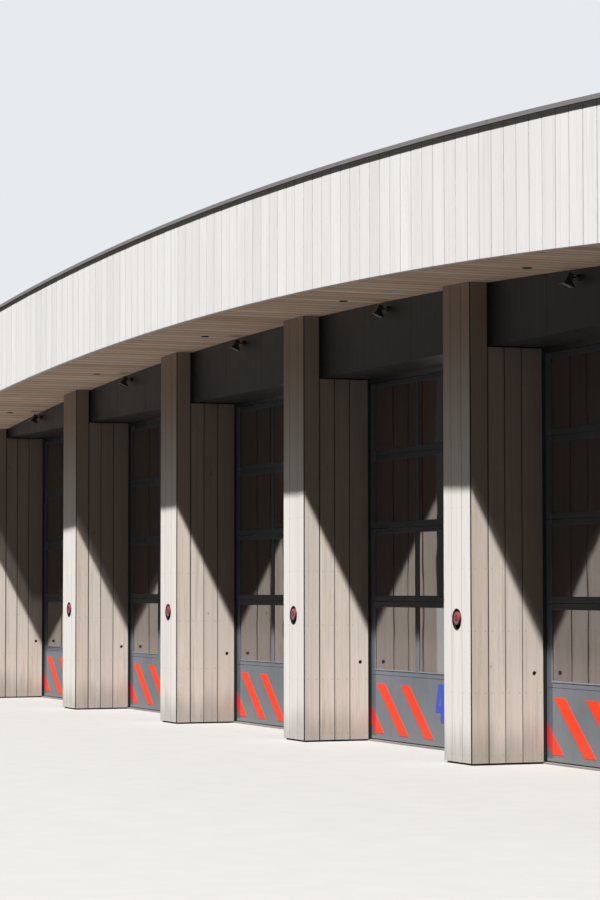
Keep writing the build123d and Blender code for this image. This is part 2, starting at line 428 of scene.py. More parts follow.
@dataclass(frozen=True)
class TimberFinish(Finish):
    """Stained boards with fibres, flat-sawn figure, knots and screw heads."""

    pale: Colour
    deep: Colour
    tint: Colour
    grain: Grain = Grain.UPRIGHT
    contrast: float = 0.5
    spread: float = 0.5
    weather: float = 0.35
    # Painted shade: share of a darker colour above the line where the roof's shadow falls, and
    # that line's foot, slope inwards and blur
    shelter: float = 0.0
    shelter_foot: float = 4.15
    shelter_slope: float = 1.93
    shelter_span: float = 0.22
    screwed: bool = True
    specular: float = 0.08
    # Painted shadow: band of the coping's shadow on the boards, its foot above the crown, its blur
    # and its share
    band_foot: float = 0.0
    band_blur: float = 0.006
    band_soil: float = 0.57
    # Painted shade along each board's edges, which darkens the joints: its width and share
    edge_width: float = 0.007
    edge_soil: float = 0.4
    screw_start: float = 0.082
    screw_pitch: float = 0.54
    screw_inset: float = 0.026
    screw_radius: float = 0.0034
    board_shift: tuple = (31.7, 17.3, 53.1)
    # Colour of the painted roof shade
    fresh: Colour = (0.15, 0.10, 0.08)
    # Colour of dirt on knots, splashes and screws, also of the painted shade at the joints and
    # under the coping
    soil: Colour = (0.16, 0.14, 0.12)
    steel: Colour = (0.20, 0.19, 0.18)

    def mix(self) -> bpy.types.Material:
        """Make the material.

        Returns:
            The material.
        """
        s = Shader(self.name)
        place = s.place()
        mark = s.node("ShaderNodeAttribute", {"attribute_name": BOARD_MARK}, out="Vector")
        left, right, tone = s.axes(mark)
        own = s.vector("ADD", place, s.join(*(tone * shift for shift in self.board_shift)))
        fibre = s.noise(own, self.grain.stretch(240, 7), detail=3)
        streak = s.noise(own, self.grain.stretch(34, 0.8), detail=5, roughness=0.62)
        cloud = s.noise(own, self.grain.stretch(7, 0.5), detail=3)
        rings = s.noise(own, self.grain.stretch(6.5, 0.42), detail=2, distortion=0.35)
        figure = abs((rings * 11).fraction() - 0.5) * 2
        wood = streak * 0.42 + figure * 0.22 + fibre * 0.16 + cloud * 0.2
        colour = s.blend(wood.rise(0.2, 0.85) * self.contrast, self.pale, self.deep)
        colour = s.blend(tone * self.spread, colour, self.deep)
        colour = s.blend((tone * 7.31).fraction() * 0.5, colour, self.tint)
        colour = self._knots(s, own, colour)
        # Painted shade where the roof's shadow falls
        if self.shelter:
            colour = s.blend(self._dry(s, place) * self.shelter, colour, self.fresh)
        colour = self._soiling(s, place, cloud, streak, colour)
        # Painted shadow of the coping
        if self.band_foot:
            colour = s.blend(self._band(s, place) * self.band_soil, colour, self.soil)
        edge = left.lower(right)
        # Painted shade along the board edges, which darkens the joints
        colour = s.blend(edge.rise(self.edge_width, 0.0) * self.edge_soil, colour, self.soil)
        height = fibre * 0.3 + streak * 0.4 + figure * 0.3
        rough = fibre * 0.12 + 0.66
        if self.screwed:
            screw, ring = self._screws(s, place, edge)
            colour = s.blend(ring * 0.25, colour, self.soil)
            colour = s.blend(screw * 0.6, colour, self.steel)
            height = height - screw * 1.5
        return s.close(colour, roughness=rough, normal=s.bump(height, 0.0005, 0.6),
                       specular_ior_level=self.specular)

    def _dry(self, s: Shader, place: Signal) -> Signal:
        """Painted shade above the line where the roof's shadow falls on the boards.

        Args:
            s: The material.
            place: Object coordinates.

        Returns:
            1 in the painted shade and 0 below it.
        """
        x, y, z = s.axes(place)
        inwards = (ROOF_REACH[0] - abs(x)).lower(ROOF_REACH[1] - abs(y))
        above = z + inwards * self.shelter_slope - self.shelter_foot
        return above.rise(0.0, self.shelter_span)

    def _band(self, s: Shader, place: Signal) -> Signal:
        """Painted shadow of the coping: a band under it that follows the arch.

        Args:
            s: The material.
            place: Object coordinates.

        Returns:
            1 in the band and 0 below it.
        """
        x, _, z = s.axes(place)
        foot = ROOF.crown + self.band_foot
        return (z + x * x * (0.5 / ROOF.radius)).rise(foot, foot + self.band_blur)

    def _knots(self, s: Shader, own: Signal, colour: Signal) -> Signal:
        """Put a few small dark knots on the boards.

        Args:
            s: The material.
            own: The board's own coordinates.
            colour: Colour so far.

        Returns:
            The colour with knots.
        """
        cell = s.node("ShaderNodeTexVoronoi",
                      inputs={"Vector": s.vector("MULTIPLY", own, self.grain.stretch(4.2, 2.1)),
                              "Scale": 1.0})
        some = s.axes(cell.other("Color"))[0].rise(0.62, 0.64)
        core = cell.rise(0.045, 0.02) * some
        halo = cell.rise(0.14, 0.03) * some
        colour = s.blend(halo * 0.28, colour, self.deep)
        return s.blend(core * 0.75, colour, self.soil)

    def _soiling(self, s: Shader, place: Signal, cloud: Signal, streak: Signal,
                 colour: Signal) -> Signal:
        """Darken the feet of upright boards where rain splashes.

        Args:
            s: The material.
            place: Object coordinates.
            cloud: Broad noise of the board.
            streak: Streaks of the board.
            colour: Colour so far.

        Returns:
            The colour with splash marks and faint runs.
        """
        if self.grain is not Grain.UPRIGHT:
            return colour
        height = s.axes(place)[2]
        splash = (height - cloud * 0.16).rise(0.34, 0.0)
        colour = s.blend(splash * self.weather, colour, self.soil)
        return s.blend(streak.rise(0.62, 0.95) * self.weather * 0.3, colour, self.soil)

    def _screws(self, s: Shader, place: Signal, edge: Signal) -> tuple[Signal, Signal]:
        """Masks of the screw heads near both edges of each board.

        Args:
            s: The material.
            place: Object coordinates.
            edge: Distance to the board's nearer edge.

        Returns:
            The heads, and the slightly larger marks around them.
        """
        along = s.axes(place)[self.grain.value].repeat(self.screw_start, self.screw_pitch)
        across = edge - self.screw_inset
        distance = (along * along + across * across).root()
        head = distance.rise(self.screw_radius * 1.1, self.screw_radius * 0.85)
        return head, distance.rise(self.screw_radius * 2.4, self.screw_radius)


@dataclass(frozen=True)
class CoatFinish(Finish):
    """Powder coat, paint, plastic or rubber with a little mottling, peel and dust."""

    colour: Colour
    roughness: float
    metallic: float = 0.0
    coat: float = 0.0
    mottle: float = 0.12
    peel: float = 0.00006
    dust: float = 0.0
    dust_top: float = 0.42
    specular: float = 0.5
    dust_colour: Colour = (0.42, 0.39, 0.35)
    # Painted shade: share of a darker colour above the height where the roof's shadow falls on the
    # door, that height's rise and the colour
    unchalked: float = 0.0
    chalk_top: tuple[float, float] = (0.95, 1.35)
    unchalked_colour: Colour = (0.016, 0.015, 0.015)

    def mix(self) -> bpy.types.Material:
        """Make the material.

        Returns:
            The material.
        """
        s = Shader(self.name)
        place = s.place()
        broad = s.noise(place, 1.7, detail=4, roughness=0.6)
        runs = s.noise(place, (16.0, 16.0, 0.9), detail=4)
        fine = s.noise(place, 420.0, detail=2)
        shade = tuple(part * (1 - self.mottle * 2.2) for part in self.colour)
        colour = s.blend(broad * 0.5 + runs * 0.3, self.colour, shade)
        height = s.axes(place)[2]
        # Painted shade above the height where the roof's shadow falls
        if self.unchalked:
            above = (height + runs * 0.1).rise(*self.chalk_top)
            colour = s.blend(above * self.unchalked, colour, self.unchalked_colour)
        low = (height - runs * 0.12).rise(self.dust_top, 0.0)
        colour = s.blend(low * self.dust + runs.rise(0.6, 1.0) * (self.dust * 0.25), colour,
                         self.dust_colour)
        rough = broad * 0.08 + runs * 0.06 + (self.roughness - 0.07) + low * self.dust * 0.4
        return s.close(colour, roughness=rough, metallic=self.metallic, coat_weight=self.coat,
                       specular_ior_level=self.specular,
                       normal=s.bump(fine * 0.6 + broad * 0.4, self.peel))


@dataclass(frozen=True)
class SheetFinish(Finish):
    """Folded sheet metal with butt joints along its length and rain marks."""

    colour: Colour
    stain: Colour
    joint_pitch: float
    roughness: float = 0.42
    metallic: float = 0.55
    joint_width: float = 0.004
    first_joint: tuple[float, float] = (0.4, 0.9)
    joint_colour: Colour = (0.03, 0.03, 0.03)
    # Colour of the painted shade on faces that look downwards
    under_colour: Colour = (0.02, 0.018, 0.018)

    def mix(self) -> bpy.types.Material:
        """Make the material.

        Returns:
            The material.
        """
        s = Shader(self.name)
        place = s.place()
        x, y, _ = s.axes(place)
        patch = s.noise(place, 2.3, detail=5, roughness=0.62)
        specks = s.noise(place, 46.0, detail=4)
        drawn = s.noise(place, (3.0, 3.0, 240.0), detail=2)
        colour = s.blend(patch * 0.45 + specks * 0.25, self.colour, self.stain)
        along_x, along_y = (abs(axis.repeat(first, self.joint_pitch))
                            for axis, first in zip((x, y), self.first_joint))
        near = along_x.lower(along_y)
        joint = near.rise(self.joint_width, self.joint_width * 0.4)
        colour = s.blend(near.rise(0.06, 0.0) * 0.25, colour, self.stain)
        colour = s.blend(joint * 0.8, colour, self.joint_colour)
        # Painted shade: faces that look downwards are darkened, as if in their own shade
        under = s.axes(s.node("ShaderNodeNewGeometry", out="True Normal"))[2].rise(-0.3, -0.8)
        colour = s.blend(under * 0.85, colour, self.under_colour)
        height = specks * 0.12 + drawn * 0.08 - joint
        rough = patch * 0.16 + (self.roughness - 0.08)
        return s.close(colour, roughness=rough, metallic=self.metallic,
                       normal=s.bump(height, 0.0008))


@dataclass(frozen=True)
class GlassFinish(Finish):
    """Tinted double glazing, dark inside and a strong mirror at a low angle."""

    colour: Colour
    roughness: float
    ior: float
    alpha: float
    coat_ior: float = 1.6
    dust_top: float = 1.1
    dust_colour: Colour = (0.30, 0.29, 0.27)

    def mix(self) -> bpy.types.Material:
        """Make the material.

        Returns:
            The material.
        """
        s = Shader(self.name)
        place = s.place()
        film = s.noise(place, (5.0, 5.0, 2.0), detail=5)
        wave = s.noise(place, 2.0, detail=1)
        height = s.axes(place)[2]
        dust = (height - film * 0.2).rise(self.dust_top, 0.5) * film
        colour = s.blend(dust * 0.12, self.colour, self.dust_colour)
        rough = film * 0.025 + self.roughness + dust * 0.05
        return s.close(colour, roughness=rough, ior=self.ior, alpha=self.alpha, coat_weight=1.0,
                       coat_ior=self.coat_ior, coat_roughness=0.015, normal=s.bump(wave, 0.0012))


@dataclass(frozen=True)
class LensFinish(Finish):
    """Moulded red lens, darker towards its middle, under a clear gloss."""

    rim: Colour
    middle: Colour
    radius: float
    centre_height: float
    start: float
    pitch: float
    rings: int = 9
    haze_colour: Colour = (0.60, 0.40, 0.38)

    def mix(self) -> bpy.types.Material:
        """Make the material.

        Returns:
            The material.
        """
        s = Shader(self.name)
        place = s.place()
        x, _, z = s.axes(place)
        across = x.repeat(self.start, self.pitch)
        up = z - self.centre_height
        out = (across * across + up * up).root() * (1 / self.radius)
        rings = abs((out * self.rings).fraction() - 0.5) * 2
        haze = s.noise(place, 60.0, detail=3)
        colour = s.blend(out.rise(0.22, 0.86), self.middle, self.rim)
        colour = s.blend(haze * 0.03, colour, self.haze_colour)
        return s.close(colour, roughness=haze * 0.08 + 0.18, coat_weight=0.3,
                       normal=s.bump(rings, 0.0012))


@dataclass(frozen=True)
class StoneFinish(Finish):
    """Power-floated concrete or a roof membrane, with laps where it has them."""

    colour: Colour
    stain: Colour
    roughness: float
    lap_pitch: float = 0.0
    lap_width: float = 0.012
    roll_length: float = 5.0
    roll_shift: float = 2.3
    relief: float = 0.0006

    def mix(self) -> bpy.types.Material:
        """Make the material.

        Returns:
            The material.
        """
        s = Shader(self.name)
        place = s.place()
        patch = s.noise(place, 0.6, detail=6, roughness=0.65)
        grit = s.noise(place, 90.0, detail=4)
        puddle = s.noise(place, 0.25, detail=3, distortion=0.6).rise(0.5, 0.66)
        colour = s.blend(patch * 0.5 + grit * 0.25, self.colour, self.stain)
        colour = s.blend(puddle * 0.25, colour, self.stain)
        height = grit * 0.6 + patch * 0.4
        if self.lap_pitch:
            seam = self._laps(s, place)
            colour = s.blend(seam * 0.5, colour, self.stain)
            height = height + seam * 2.0
        rough = patch * 0.12 + (self.roughness - 0.06)
        return s.close(colour, roughness=rough, normal=s.bump(height, self.relief))

    def _laps(self, s: Shader, place: Signal) -> Signal:
        """Laps between the rolls, and at the ends of each roll.

        Args:
            s: The material.
            place: Object coordinates.

        Returns:
            1 at a lap and 0 elsewhere.
        """
        x, y, _ = s.axes(place)
        roll = (x * (1 / self.lap_pitch) + 0.5).floor()
        side, end = (abs(axis.repeat(0.0, pitch)).rise(self.lap_width, self.lap_width * 0.5)
                     for axis, pitch in ((x, self.lap_pitch),
                                         (y + roll * self.roll_shift, self.roll_length)))
        return side.higher(end)


class Finishes:
    """Every finish on the building."""

    # Painted shade in the timber finishes: boards darken where the roof's shadow falls, in the
    # coping's shadow band and along the joints
    TIMBER = TimberFinish("weathered_timber", pale=(0.86, 0.78, 0.69), deep=(0.60, 0.51, 0.43),
                          tint=(0.72, 0.66, 0.62), spread=0.6, shelter=0.72)
    WALL = replace(TIMBER, name="wall_timber", shelter=0.3)
    BLEACHED = TimberFinish("bleached_timber", pale=(0.85, 0.816, 0.79), deep=(0.66, 0.605, 0.56),
                            tint=(0.80, 0.78, 0.765), contrast=0.20, spread=0.28,
                            shelter=0.82, shelter_span=1.7, fresh=(0.29, 0.205, 0.150))
    FASCIA = TimberFinish("pale_fascia_timber", pale=(0.91, 0.906, 0.905),
                          deep=(0.67, 0.655, 0.655), tint=(0.84, 0.825, 0.825), contrast=0.42,
                          spread=0.4, weather=0.2, screwed=False, band_foot=1.0)
    SOFFIT = TimberFinish("soffit_timber", pale=(0.92, 0.73, 0.58), deep=(0.36, 0.255, 0.185),
                          tint=(0.70, 0.56, 0.47), grain=Grain.INWARD, contrast=0.8, spread=0.75,
                          screwed=False, edge_width=0.016, edge_soil=0.85)
    # Black membrane behind the boards, also used as painted shade on the end face of each fin's
    # last front board
    BACKING = CoatFinish("black_membrane_and_gap_shade", colour=(0.010, 0.009, 0.009), roughness=0.9)
    PANEL = CoatFinish("wall_lining", colour=(0.62, 0.61, 0.58), roughness=0.75, dust=0.25)
    LINTEL = CoatFinish("anthracite_sheet", colour=(0.022, 0.021, 0.021), roughness=0.45,
                        specular=0.25)
    DOOR = CoatFinish("grey_door_coat", colour=(0.208, 0.224, 0.252), roughness=0.5, dust=0.12,
                      specular=0.04, unchalked=0.55)
    END_CAP = CoatFinish("dark_door_end", colour=(0.105, 0.120, 0.150), roughness=0.38, dust=0.1)
    FRAME = CoatFinish("black_door_frame", colour=(0.012, 0.012, 0.013), roughness=0.5)
    RUBBER = CoatFinish("black_rubber", colour=(0.014, 0.014, 0.014), roughness=0.8, dust=0.3)
    STRIPE = CoatFinish("signal_orange", colour=(0.94, 0.052, 0.012), roughness=0.45, mottle=0.03,
                        dust=0.05, specular=0.3)
    STRIPE_DARK = CoatFinish("signal_red", colour=(0.62, 0.020, 0.030), roughness=0.35,
                             mottle=0.03, dust=0.05)
    NUMBER = CoatFinish("number_blue", colour=(0.028, 0.080, 0.56), roughness=0.35, mottle=0.03,
                        dust=0.05, specular=0.3)
    COPING = SheetFinish("roof_edge_sheet", colour=(0.38, 0.36, 0.365), stain=(0.25, 0.235, 0.238),
                         joint_pitch=3.0, metallic=0.35)
    GLASS = GlassFinish("tinted_glass", colour=(0.042, 0.027, 0.031), roughness=0.012, ior=2.9,
                        alpha=0.95)
    LAMP = CoatFinish("black_lamp", colour=(0.012, 0.012, 0.012), roughness=0.45, mottle=0.2)
    LAMP_GLASS = CoatFinish("lamp_glass", colour=(0.20, 0.20, 0.19), roughness=0.12, coat=1.0)
    DARK_LAMP = CoatFinish("dark_reflector", colour=(0.006, 0.005, 0.005), roughness=0.7,
                           specular=0.1)
    SENSOR = CoatFinish("sensor_eye", colour=(0.020, 0.014, 0.014), roughness=0.1, coat=1.0)
    CONCRETE = StoneFinish("floated_concrete", colour=(0.34, 0.33, 0.31), stain=(0.19, 0.18, 0.17),
                           roughness=0.55)
    MEMBRANE = StoneFinish("roof_membrane", colour=(0.105, 0.110, 0.115),
                           stain=(0.060, 0.060, 0.062), roughness=0.8, lap_pitch=1.0)
    CHROME = SheetFinish("recess_trim", colour=(0.46, 0.45, 0.44), stain=(0.22, 0.21, 0.20),
                         joint_pitch=50.0, roughness=0.3, metallic=1.0)


def deselect() -> None:
    """Deselect everything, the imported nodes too."""
    bpy.ops.object.select_all(action="DESELECT")


def pick(obj: bpy.types.Object) -> None:
    """Select one object alone and make it the active one.

    Args:
        obj: The object.
    """
    deselect()
    bpy.context.view_layer.objects.active = obj
    obj.select_set(True)


class Workpiece:
    """One mesh object on the bench, shaped with Blender's own operators."""

    def __init__(self, obj: bpy.types.Object) -> None:
        """Hold the object."""
        self.obj = obj

    @classmethod
    def settled(cls) -> "Workpiece":
        """The primitive just added, with its place and size in its mesh.

        Returns:
            The workpiece.
        """
        obj = bpy.context.object
        bpy.ops.object.transform_apply(location=True, rotation=True, scale=True)
        return cls(obj)

    @classmethod
    def block(cls, low: Sequence[float], high: Sequence[float]) -> "Workpiece":
        """Box between two corners.

        Args:
            low: Its lowest corner.
            high: Its highest corner.

        Returns:
            The box.
        """
        deselect()
        low, high = Vector(low), Vector(high)
        bpy.ops.mesh.primitive_cube_add(size=1.0, location=(low + high) / 2, scale=high - low)
        return cls.settled()

    @classmethod
    def cylinder(cls, centre: Sequence[float], radius: float, depth: float,
                 turn: Sequence[float] = TO_THE_BACK, sides: int = 48) -> "Workpiece":
        """Closed cylinder.

        Args:
            centre: Middle of its axis.
            radius: Radius.
            depth: Length of its axis.
            turn: Rotation from upright, by default with its axis front to back.
            sides: Faces round it.

        Returns:
            The cylinder.
        """
        deselect()
        bpy.ops.mesh.primitive_cylinder_add(vertices=sides, radius=radius, depth=depth,
                                            location=centre, rotation=turn)
        return cls.settled()

    @classmethod
    def node_copy(cls, name: str) -> "Workpiece":
        """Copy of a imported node, its loose triangles merged into one skin.

        Args:
            name: Name of the node.

        Returns:
            The copy, with no finish.
        """
        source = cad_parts[name]
        obj = bpy.data.objects.new(name + "_copy", source.data.copy())
        bpy.context.scene.collection.objects.link(obj)
        obj.data.materials.clear()
        piece = cls(obj)
        with piece._editing("VERT"):
            bpy.ops.mesh.select_all(action="SELECT")
            bpy.ops.mesh.remove_doubles(threshold=CLOSE / 4)
        return piece

    def _editing(self, mode: str) -> "Editing":
        """Edit mode with one kind of selection."""
        return Editing(self.obj, mode)

    def _pick_faces(self, test: Test) -> None:
        """Select the faces whose centre and normal pass a test.

        Args:
            test: Picks the faces by centre and normal.
        """
        mesh = self.obj.data
        for parts in (mesh.vertices, mesh.edges, mesh.polygons):
            parts.foreach_set("select", np.zeros(len(parts), bool))
        for face in mesh.polygons:
            face.select = test(face.center, face.normal)

    def ease(self, width: float, segments: int = 1) -> "Workpiece":
        """Bevel every edge.

        Args:
            width: Width of the bevel.
            segments: Steps across it.

        Returns:
            The workpiece.
        """
        with self._editing("EDGE"):
            bpy.ops.mesh.select_all(action="SELECT")
            bpy.ops.mesh.bevel(offset=width, segments=segments, affect="EDGES")
        return self

    def ease_round(self, test: Test, width: float, segments: int = 2) -> "Workpiece":
        """Bevel the edges of the chosen faces.

        Args:
            test: Picks the faces by centre and normal.
            width: Width of the bevel.
            segments: Steps across it.

        Returns:
            The workpiece.
        """
        self._pick_faces(test)
        with self._editing("FACE"):
            bpy.ops.mesh.bevel(offset=width, segments=segments, affect="EDGES")
        return self

    def inset(self, test: Test, width: float, push: Sequence[float] | None = None) -> "Workpiece":
        """Inset the chosen faces and push what is inside them out or in.

        Args:
            test: Picks the faces by centre and normal.
            width: Width of the new rim.
            push: Way that the faces inside it move.

        Returns:
            The workpiece.
        """
        self._pick_faces(test)
        with self._editing("FACE"):
            bpy.ops.mesh.inset(thickness=width, depth=0.0)
            if push is not None:
                bpy.ops.mesh.extrude_region_move(TRANSFORM_OT_translate={"value": tuple(push)})
        return self

    def bridge_through(self, test: Test, flat: float, slope: float, sink: float) -> "Workpiece":
        """Open a way through between two opposite faces.

        Args:
            test: Picks both faces.
            flat: Width that stays level round the opening.
            slope: Width of the sloped edge inside it.
            sink: Depth of that slope.

        Returns:
            The workpiece.
        """
        self._pick_faces(test)
        with self._editing("FACE"):
            bpy.ops.mesh.inset(thickness=flat, depth=0.0)
            bpy.ops.mesh.inset(thickness=slope, depth=-sink)
            bpy.ops.mesh.bridge_edge_loops()
        return self

    def shift(self, test: Test, offset: Sequence[float]) -> "Workpiece":
        """Move the chosen faces.

        Args:
            test: Picks the faces by centre and normal.
            offset: Way to move them.

        Returns:
            The workpiece.
        """
        self._pick_faces(test)
        with self._editing("FACE"):
            bpy.ops.transform.translate(value=tuple(offset))
        return self

    def grow(self, test: Test, push: Sequence[float], factors: Sequence[float]) -> "Workpiece":
        """Extrude the chosen faces, then scale them about their own middle.

        Args:
            test: Picks the faces by centre and normal.
            push: Way to extrude them.
            factors: Scale along x, y and z.

        Returns:
            The workpiece.
        """
        self._pick_faces(test)
        with self._editing("FACE"):
            bpy.ops.mesh.extrude_region_move(TRANSFORM_OT_translate={"value": tuple(push)})
            bpy.ops.transform.resize(value=tuple(factors))
        return self

    def cut(self, point: Sequence[float], normal: Sequence[float]) -> "Workpiece":
        """Cut off what lies beyond a plane and close the cut.

        Args:
            point: A point of the plane.
            normal: Direction of what is cut off.

        Returns:
            The workpiece.
        """
        with self._editing("FACE"):
            bpy.ops.mesh.select_all(action="SELECT")
            bpy.ops.mesh.bisect(plane_co=tuple(point), plane_no=tuple(normal), use_fill=True,
                                clear_outer=True)
        return self

    def set_back(self, way: Vector, depth: float) -> "Workpiece":
        """Move the outermost faces on one side inwards.

        Args:
            way: Outward direction of that side.
            depth: Distance to move.

        Returns:
            The workpiece.
        """
        outermost = max(face.center.dot(way) for face in self.obj.data.polygons)
        return self.shift(looks(way, outermost - CLOSE), -way * depth)

    def cut_to_roof(self, x: float) -> "Workpiece":
        """Cut the head off along the tangent of the roof arch at x."""
        return self.cut((x, 0, ROOF.height(x)), (-ROOF.slope(x), 0, 1))

    def drill(self, cutter: "Workpiece") -> "Workpiece":
        """Take another workpiece's volume out of this one, and throw that one away.

        Args:
            cutter: The volume to take out.

        Returns:
            The workpiece.
        """
        pick(self.obj)
        tool = self.obj.modifiers.new("drill", "BOOLEAN")
        tool.operation = "DIFFERENCE"
        tool.solver = "EXACT"
        tool.object = cutter.obj
        bpy.ops.object.modifier_apply(modifier=tool.name)
        cutter.scrap()
        return self

    def scrap(self) -> None:
        """Throw a tool away."""
        bpy.data.objects.remove(self.obj)

    def turn(self, pivot: Sequence[float], angle: float, axis: str) -> "Workpiece":
        """Turn the mesh about an axis through a point.

        Args:
            pivot: The point.
            angle: Angle in radians.
            axis: Letter of the axis.

        Returns:
            The workpiece.
        """
        place = Matrix.Translation(pivot)
        turned = place @ Matrix.Rotation(angle, 4, axis) @ place.inverted()
        self.obj.data.transform(turned)
        return self

    def copy(self, matrix: Matrix = Matrix.Identity(4)) -> "Workpiece":
        """Copy with its own mesh, moved by a matrix.

        Args:
            matrix: The move.

        Returns:
            The copy.
        """
        twin = self.obj.copy()
        twin.data = self.obj.data.copy()
        twin.data.transform(matrix)
        bpy.context.scene.collection.objects.link(twin)
        return Workpiece(twin)

    def moved(self, offset: Sequence[float]) -> "Workpiece":
        """Copy with its own mesh, moved straight."""
        return self.copy(Matrix.Translation(offset))

    def dress(self, finish: Finish) -> "Workpiece":
        """Give the whole piece one finish.

        Args:
            finish: The finish.

        Returns:
            The workpiece.
        """
        self.obj.data.materials.clear()
        self.obj.data.materials.append(finish.material())
        return self

    def dress_faces(self, test: Test, finish: Finish) -> "Workpiece":
        """Give the chosen faces a second finish.

        Args:
            test: Picks the faces by centre and normal.
            finish: Their finish.

        Returns:
            The workpiece.
        """
        self.obj.data.materials.append(finish.material())
        index = len(self.obj.data.materials) - 1
        for face in self.obj.data.polygons:
            if test(face.center, face.normal):
                face.material_index = index
        return self

    def absorb(self, others: Iterable["Workpiece"]) -> "Workpiece":
        """Join other pieces into this one.

        Args:
            others: The pieces that go into it.

        Returns:
            The workpiece.
        """
        pick(self.obj)
        for other in others:
            other.obj.select_set(True)
        bpy.ops.object.join()
        return self

    def smooth(self, angle: float = 35.0) -> "Workpiece":
        """Shade smoothly across edges flatter than an angle in degrees.

        Args:
            angle: The angle.

        Returns:
            The workpiece.
        """
        pick(self.obj)
        bpy.ops.object.shade_smooth_by_angle(angle=math.radians(angle))
        return self

    def deliver(self, name: str, slot: str, *stands_for: str) -> None:
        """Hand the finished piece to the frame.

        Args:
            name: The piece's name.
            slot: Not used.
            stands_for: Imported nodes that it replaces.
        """
        self.obj.name = self.obj.data.name = name
        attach(self.obj, "root")
        if stands_for:
            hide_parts(*stands_for)
        log.info("%s: %d faces", name, len(self.obj.data.polygons))


class Editing:
    """Edit mode on one object, left again at the end of the block."""

    MODES = {"VERT": (True, False, False), "EDGE": (False, True, False),
             "FACE": (False, False, True)}

    def __init__(self, obj: bpy.types.Object, mode: str) -> None:
        """Hold the object and the kind of selection."""
        self.obj = obj
        self.mode = mode

    def __enter__(self) -> None:
        """Enter edit mode on this object alone."""
        pick(self.obj)
        bpy.context.tool_settings.mesh_select_mode = self.MODES[self.mode]
        bpy.ops.object.mode_set(mode="EDIT")

    def __exit__(self, *_: object) -> None:
        """Leave edit mode."""
        bpy.ops.object.mode_set(mode="OBJECT")


def join_all(pieces: Sequence[Workpiece]) -> Workpiece:
    """Join a list of pieces into its first one."""
    return pieces[0].absorb(pieces[1:])


@dataclass
class BoardYard:
    """Boards sawn once for each width and length, then copied to their places."""

    thick: float = 0.022
    ease: float = 0.0018
    settle: float = 0.0010
    seed: int = 7
    blanks: dict[tuple, tuple[bpy.types.Mesh, np.ndarray]] = field(default_factory=dict)

    def __post_init__(self) -> None:
        """Start the row of tones."""
        self.chance = random.Random(self.seed)

    def _blank(self, width: float, thick: float,
               length: float) -> tuple[bpy.types.Mesh, np.ndarray]:
        """Board lying at the origin, with its marks.

        Args:
            width: Width across the fibres.
            thick: Thickness.
            length: Length along them.

        Returns:
            The mesh, and the marks of its face corners.
        """
        key = tuple(round(size * 1e4) for size in (width, thick, length))
        if key not in self.blanks:
            piece = Workpiece.block((0, 0, 0), (width, thick, length)).ease(self.ease)
            mesh = piece.obj.data.copy()
            piece.scrap()
            corners = np.array([mesh.vertices[c.vertex_index].co for c in mesh.loops])
            marks = np.stack([corners[:, 0], width - corners[:, 0], corners[:, 0] * 0], 1)
            mesh.attributes.new(BOARD_MARK, "FLOAT_VECTOR", "CORNER")
            self.blanks[key] = (mesh, marks)
        return self.blanks[key]

    def board(self, facing: Facing, start: Sequence[float], width: float, length: float,
              finish: Finish, matrix: Matrix | None = None, thick: float = 0.0) -> Workpiece:
        """Copy a board to its place.

        Args:
            facing: Way that its face looks.
            start: The corner where its foot and its first edge meet, on the outer face.
            width: Width across the fibres.
            length: Length along them.
            finish: Its finish.
            matrix: A last shift, such as one along the roof arch.
            thick: Thickness, where it isn't the usual one.

        Returns:
            The board.
        """
        mesh, marks = self._blank(width, thick or self.thick, length)
        mesh = mesh.copy()
        marks = marks.copy()
        marks[:, 2] = self.chance.random()
        mesh.attributes[BOARD_MARK].data.foreach_set("vector", marks.astype(np.float32).ravel())
        inwards = -facing.out * self.chance.uniform(0.0, self.settle)
        mesh.transform((matrix or Matrix.Identity(4)) @ facing.turned(Vector(start) + inwards))
        obj = bpy.data.objects.new("board", mesh)
        bpy.context.scene.collection.objects.link(obj)
        return Workpiece(obj).dress(finish)

    def upright(self, facing: Facing, plane: float, low: float, high: float, foot: float,
                head: float, finish: Finish, matrix: Matrix | None = None,
                thick: float = 0.0) -> Workpiece:
        """Upright board given by its edges.

        Args:
            facing: Way that its face looks.
            plane: Place of its outer face.
            low: Its lower edge along the wall's axis.
            high: Its higher edge along that axis.
            foot: Height of its foot.
            head: Height of its head.
            finish: Its finish.
            matrix: A last shift.
            thick: Thickness, where it isn't the usual one.

        Returns:
            The board.
        """
        first = high if facing.runs_back else low
        start = (first, plane, foot) if facing.along_x else (plane, first, foot)
        return self.board(facing, start, high - low, head - foot, finish, matrix, thick)


@dataclass
class Station:
    """Driving places of the building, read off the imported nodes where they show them."""

    roof: RoofArc = ROOF
    bays: int = 6
    board: float = 0.022
    foot: float = 0.015
    spare: float = 0.15
    beacon_height: float = 1.260
    beacon_aside: float = 0.018
    beacon_depth: float = 0.080
    eye_height: float = 0.790
    eye_back: float = 0.608
    lamp_out: float = 0.220
    lamp_aside: float = 0.110

    def __post_init__(self) -> None:
        """Measure the frame."""
        fin_low, fin_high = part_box("fin_4")
        self.front = fin_low.y
        self.post_back = fin_high.y
        self.fin_half = fin_high.x
        self.fin_back, self.door_front = (corner.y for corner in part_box("door_frames"))
        lintel_low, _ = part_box("lintel_1")
        self.lintel_front, self.lintel_foot = lintel_low.yz
        self.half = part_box("end_wall_right")[1].x
        self.tall = self.roof.crown + self.spare
        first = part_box("fin_1")[0].x + self.fin_half
        self.pitch = -first / (self.bays / 2)
        self.fins = [first + self.pitch * number for number in range(self.bays + 1)]
        self.bays_x = [x + self.pitch / 2 for x in self.fins[:-1]]
        self.doorway_half = self.pitch / 2 - self.fin_half


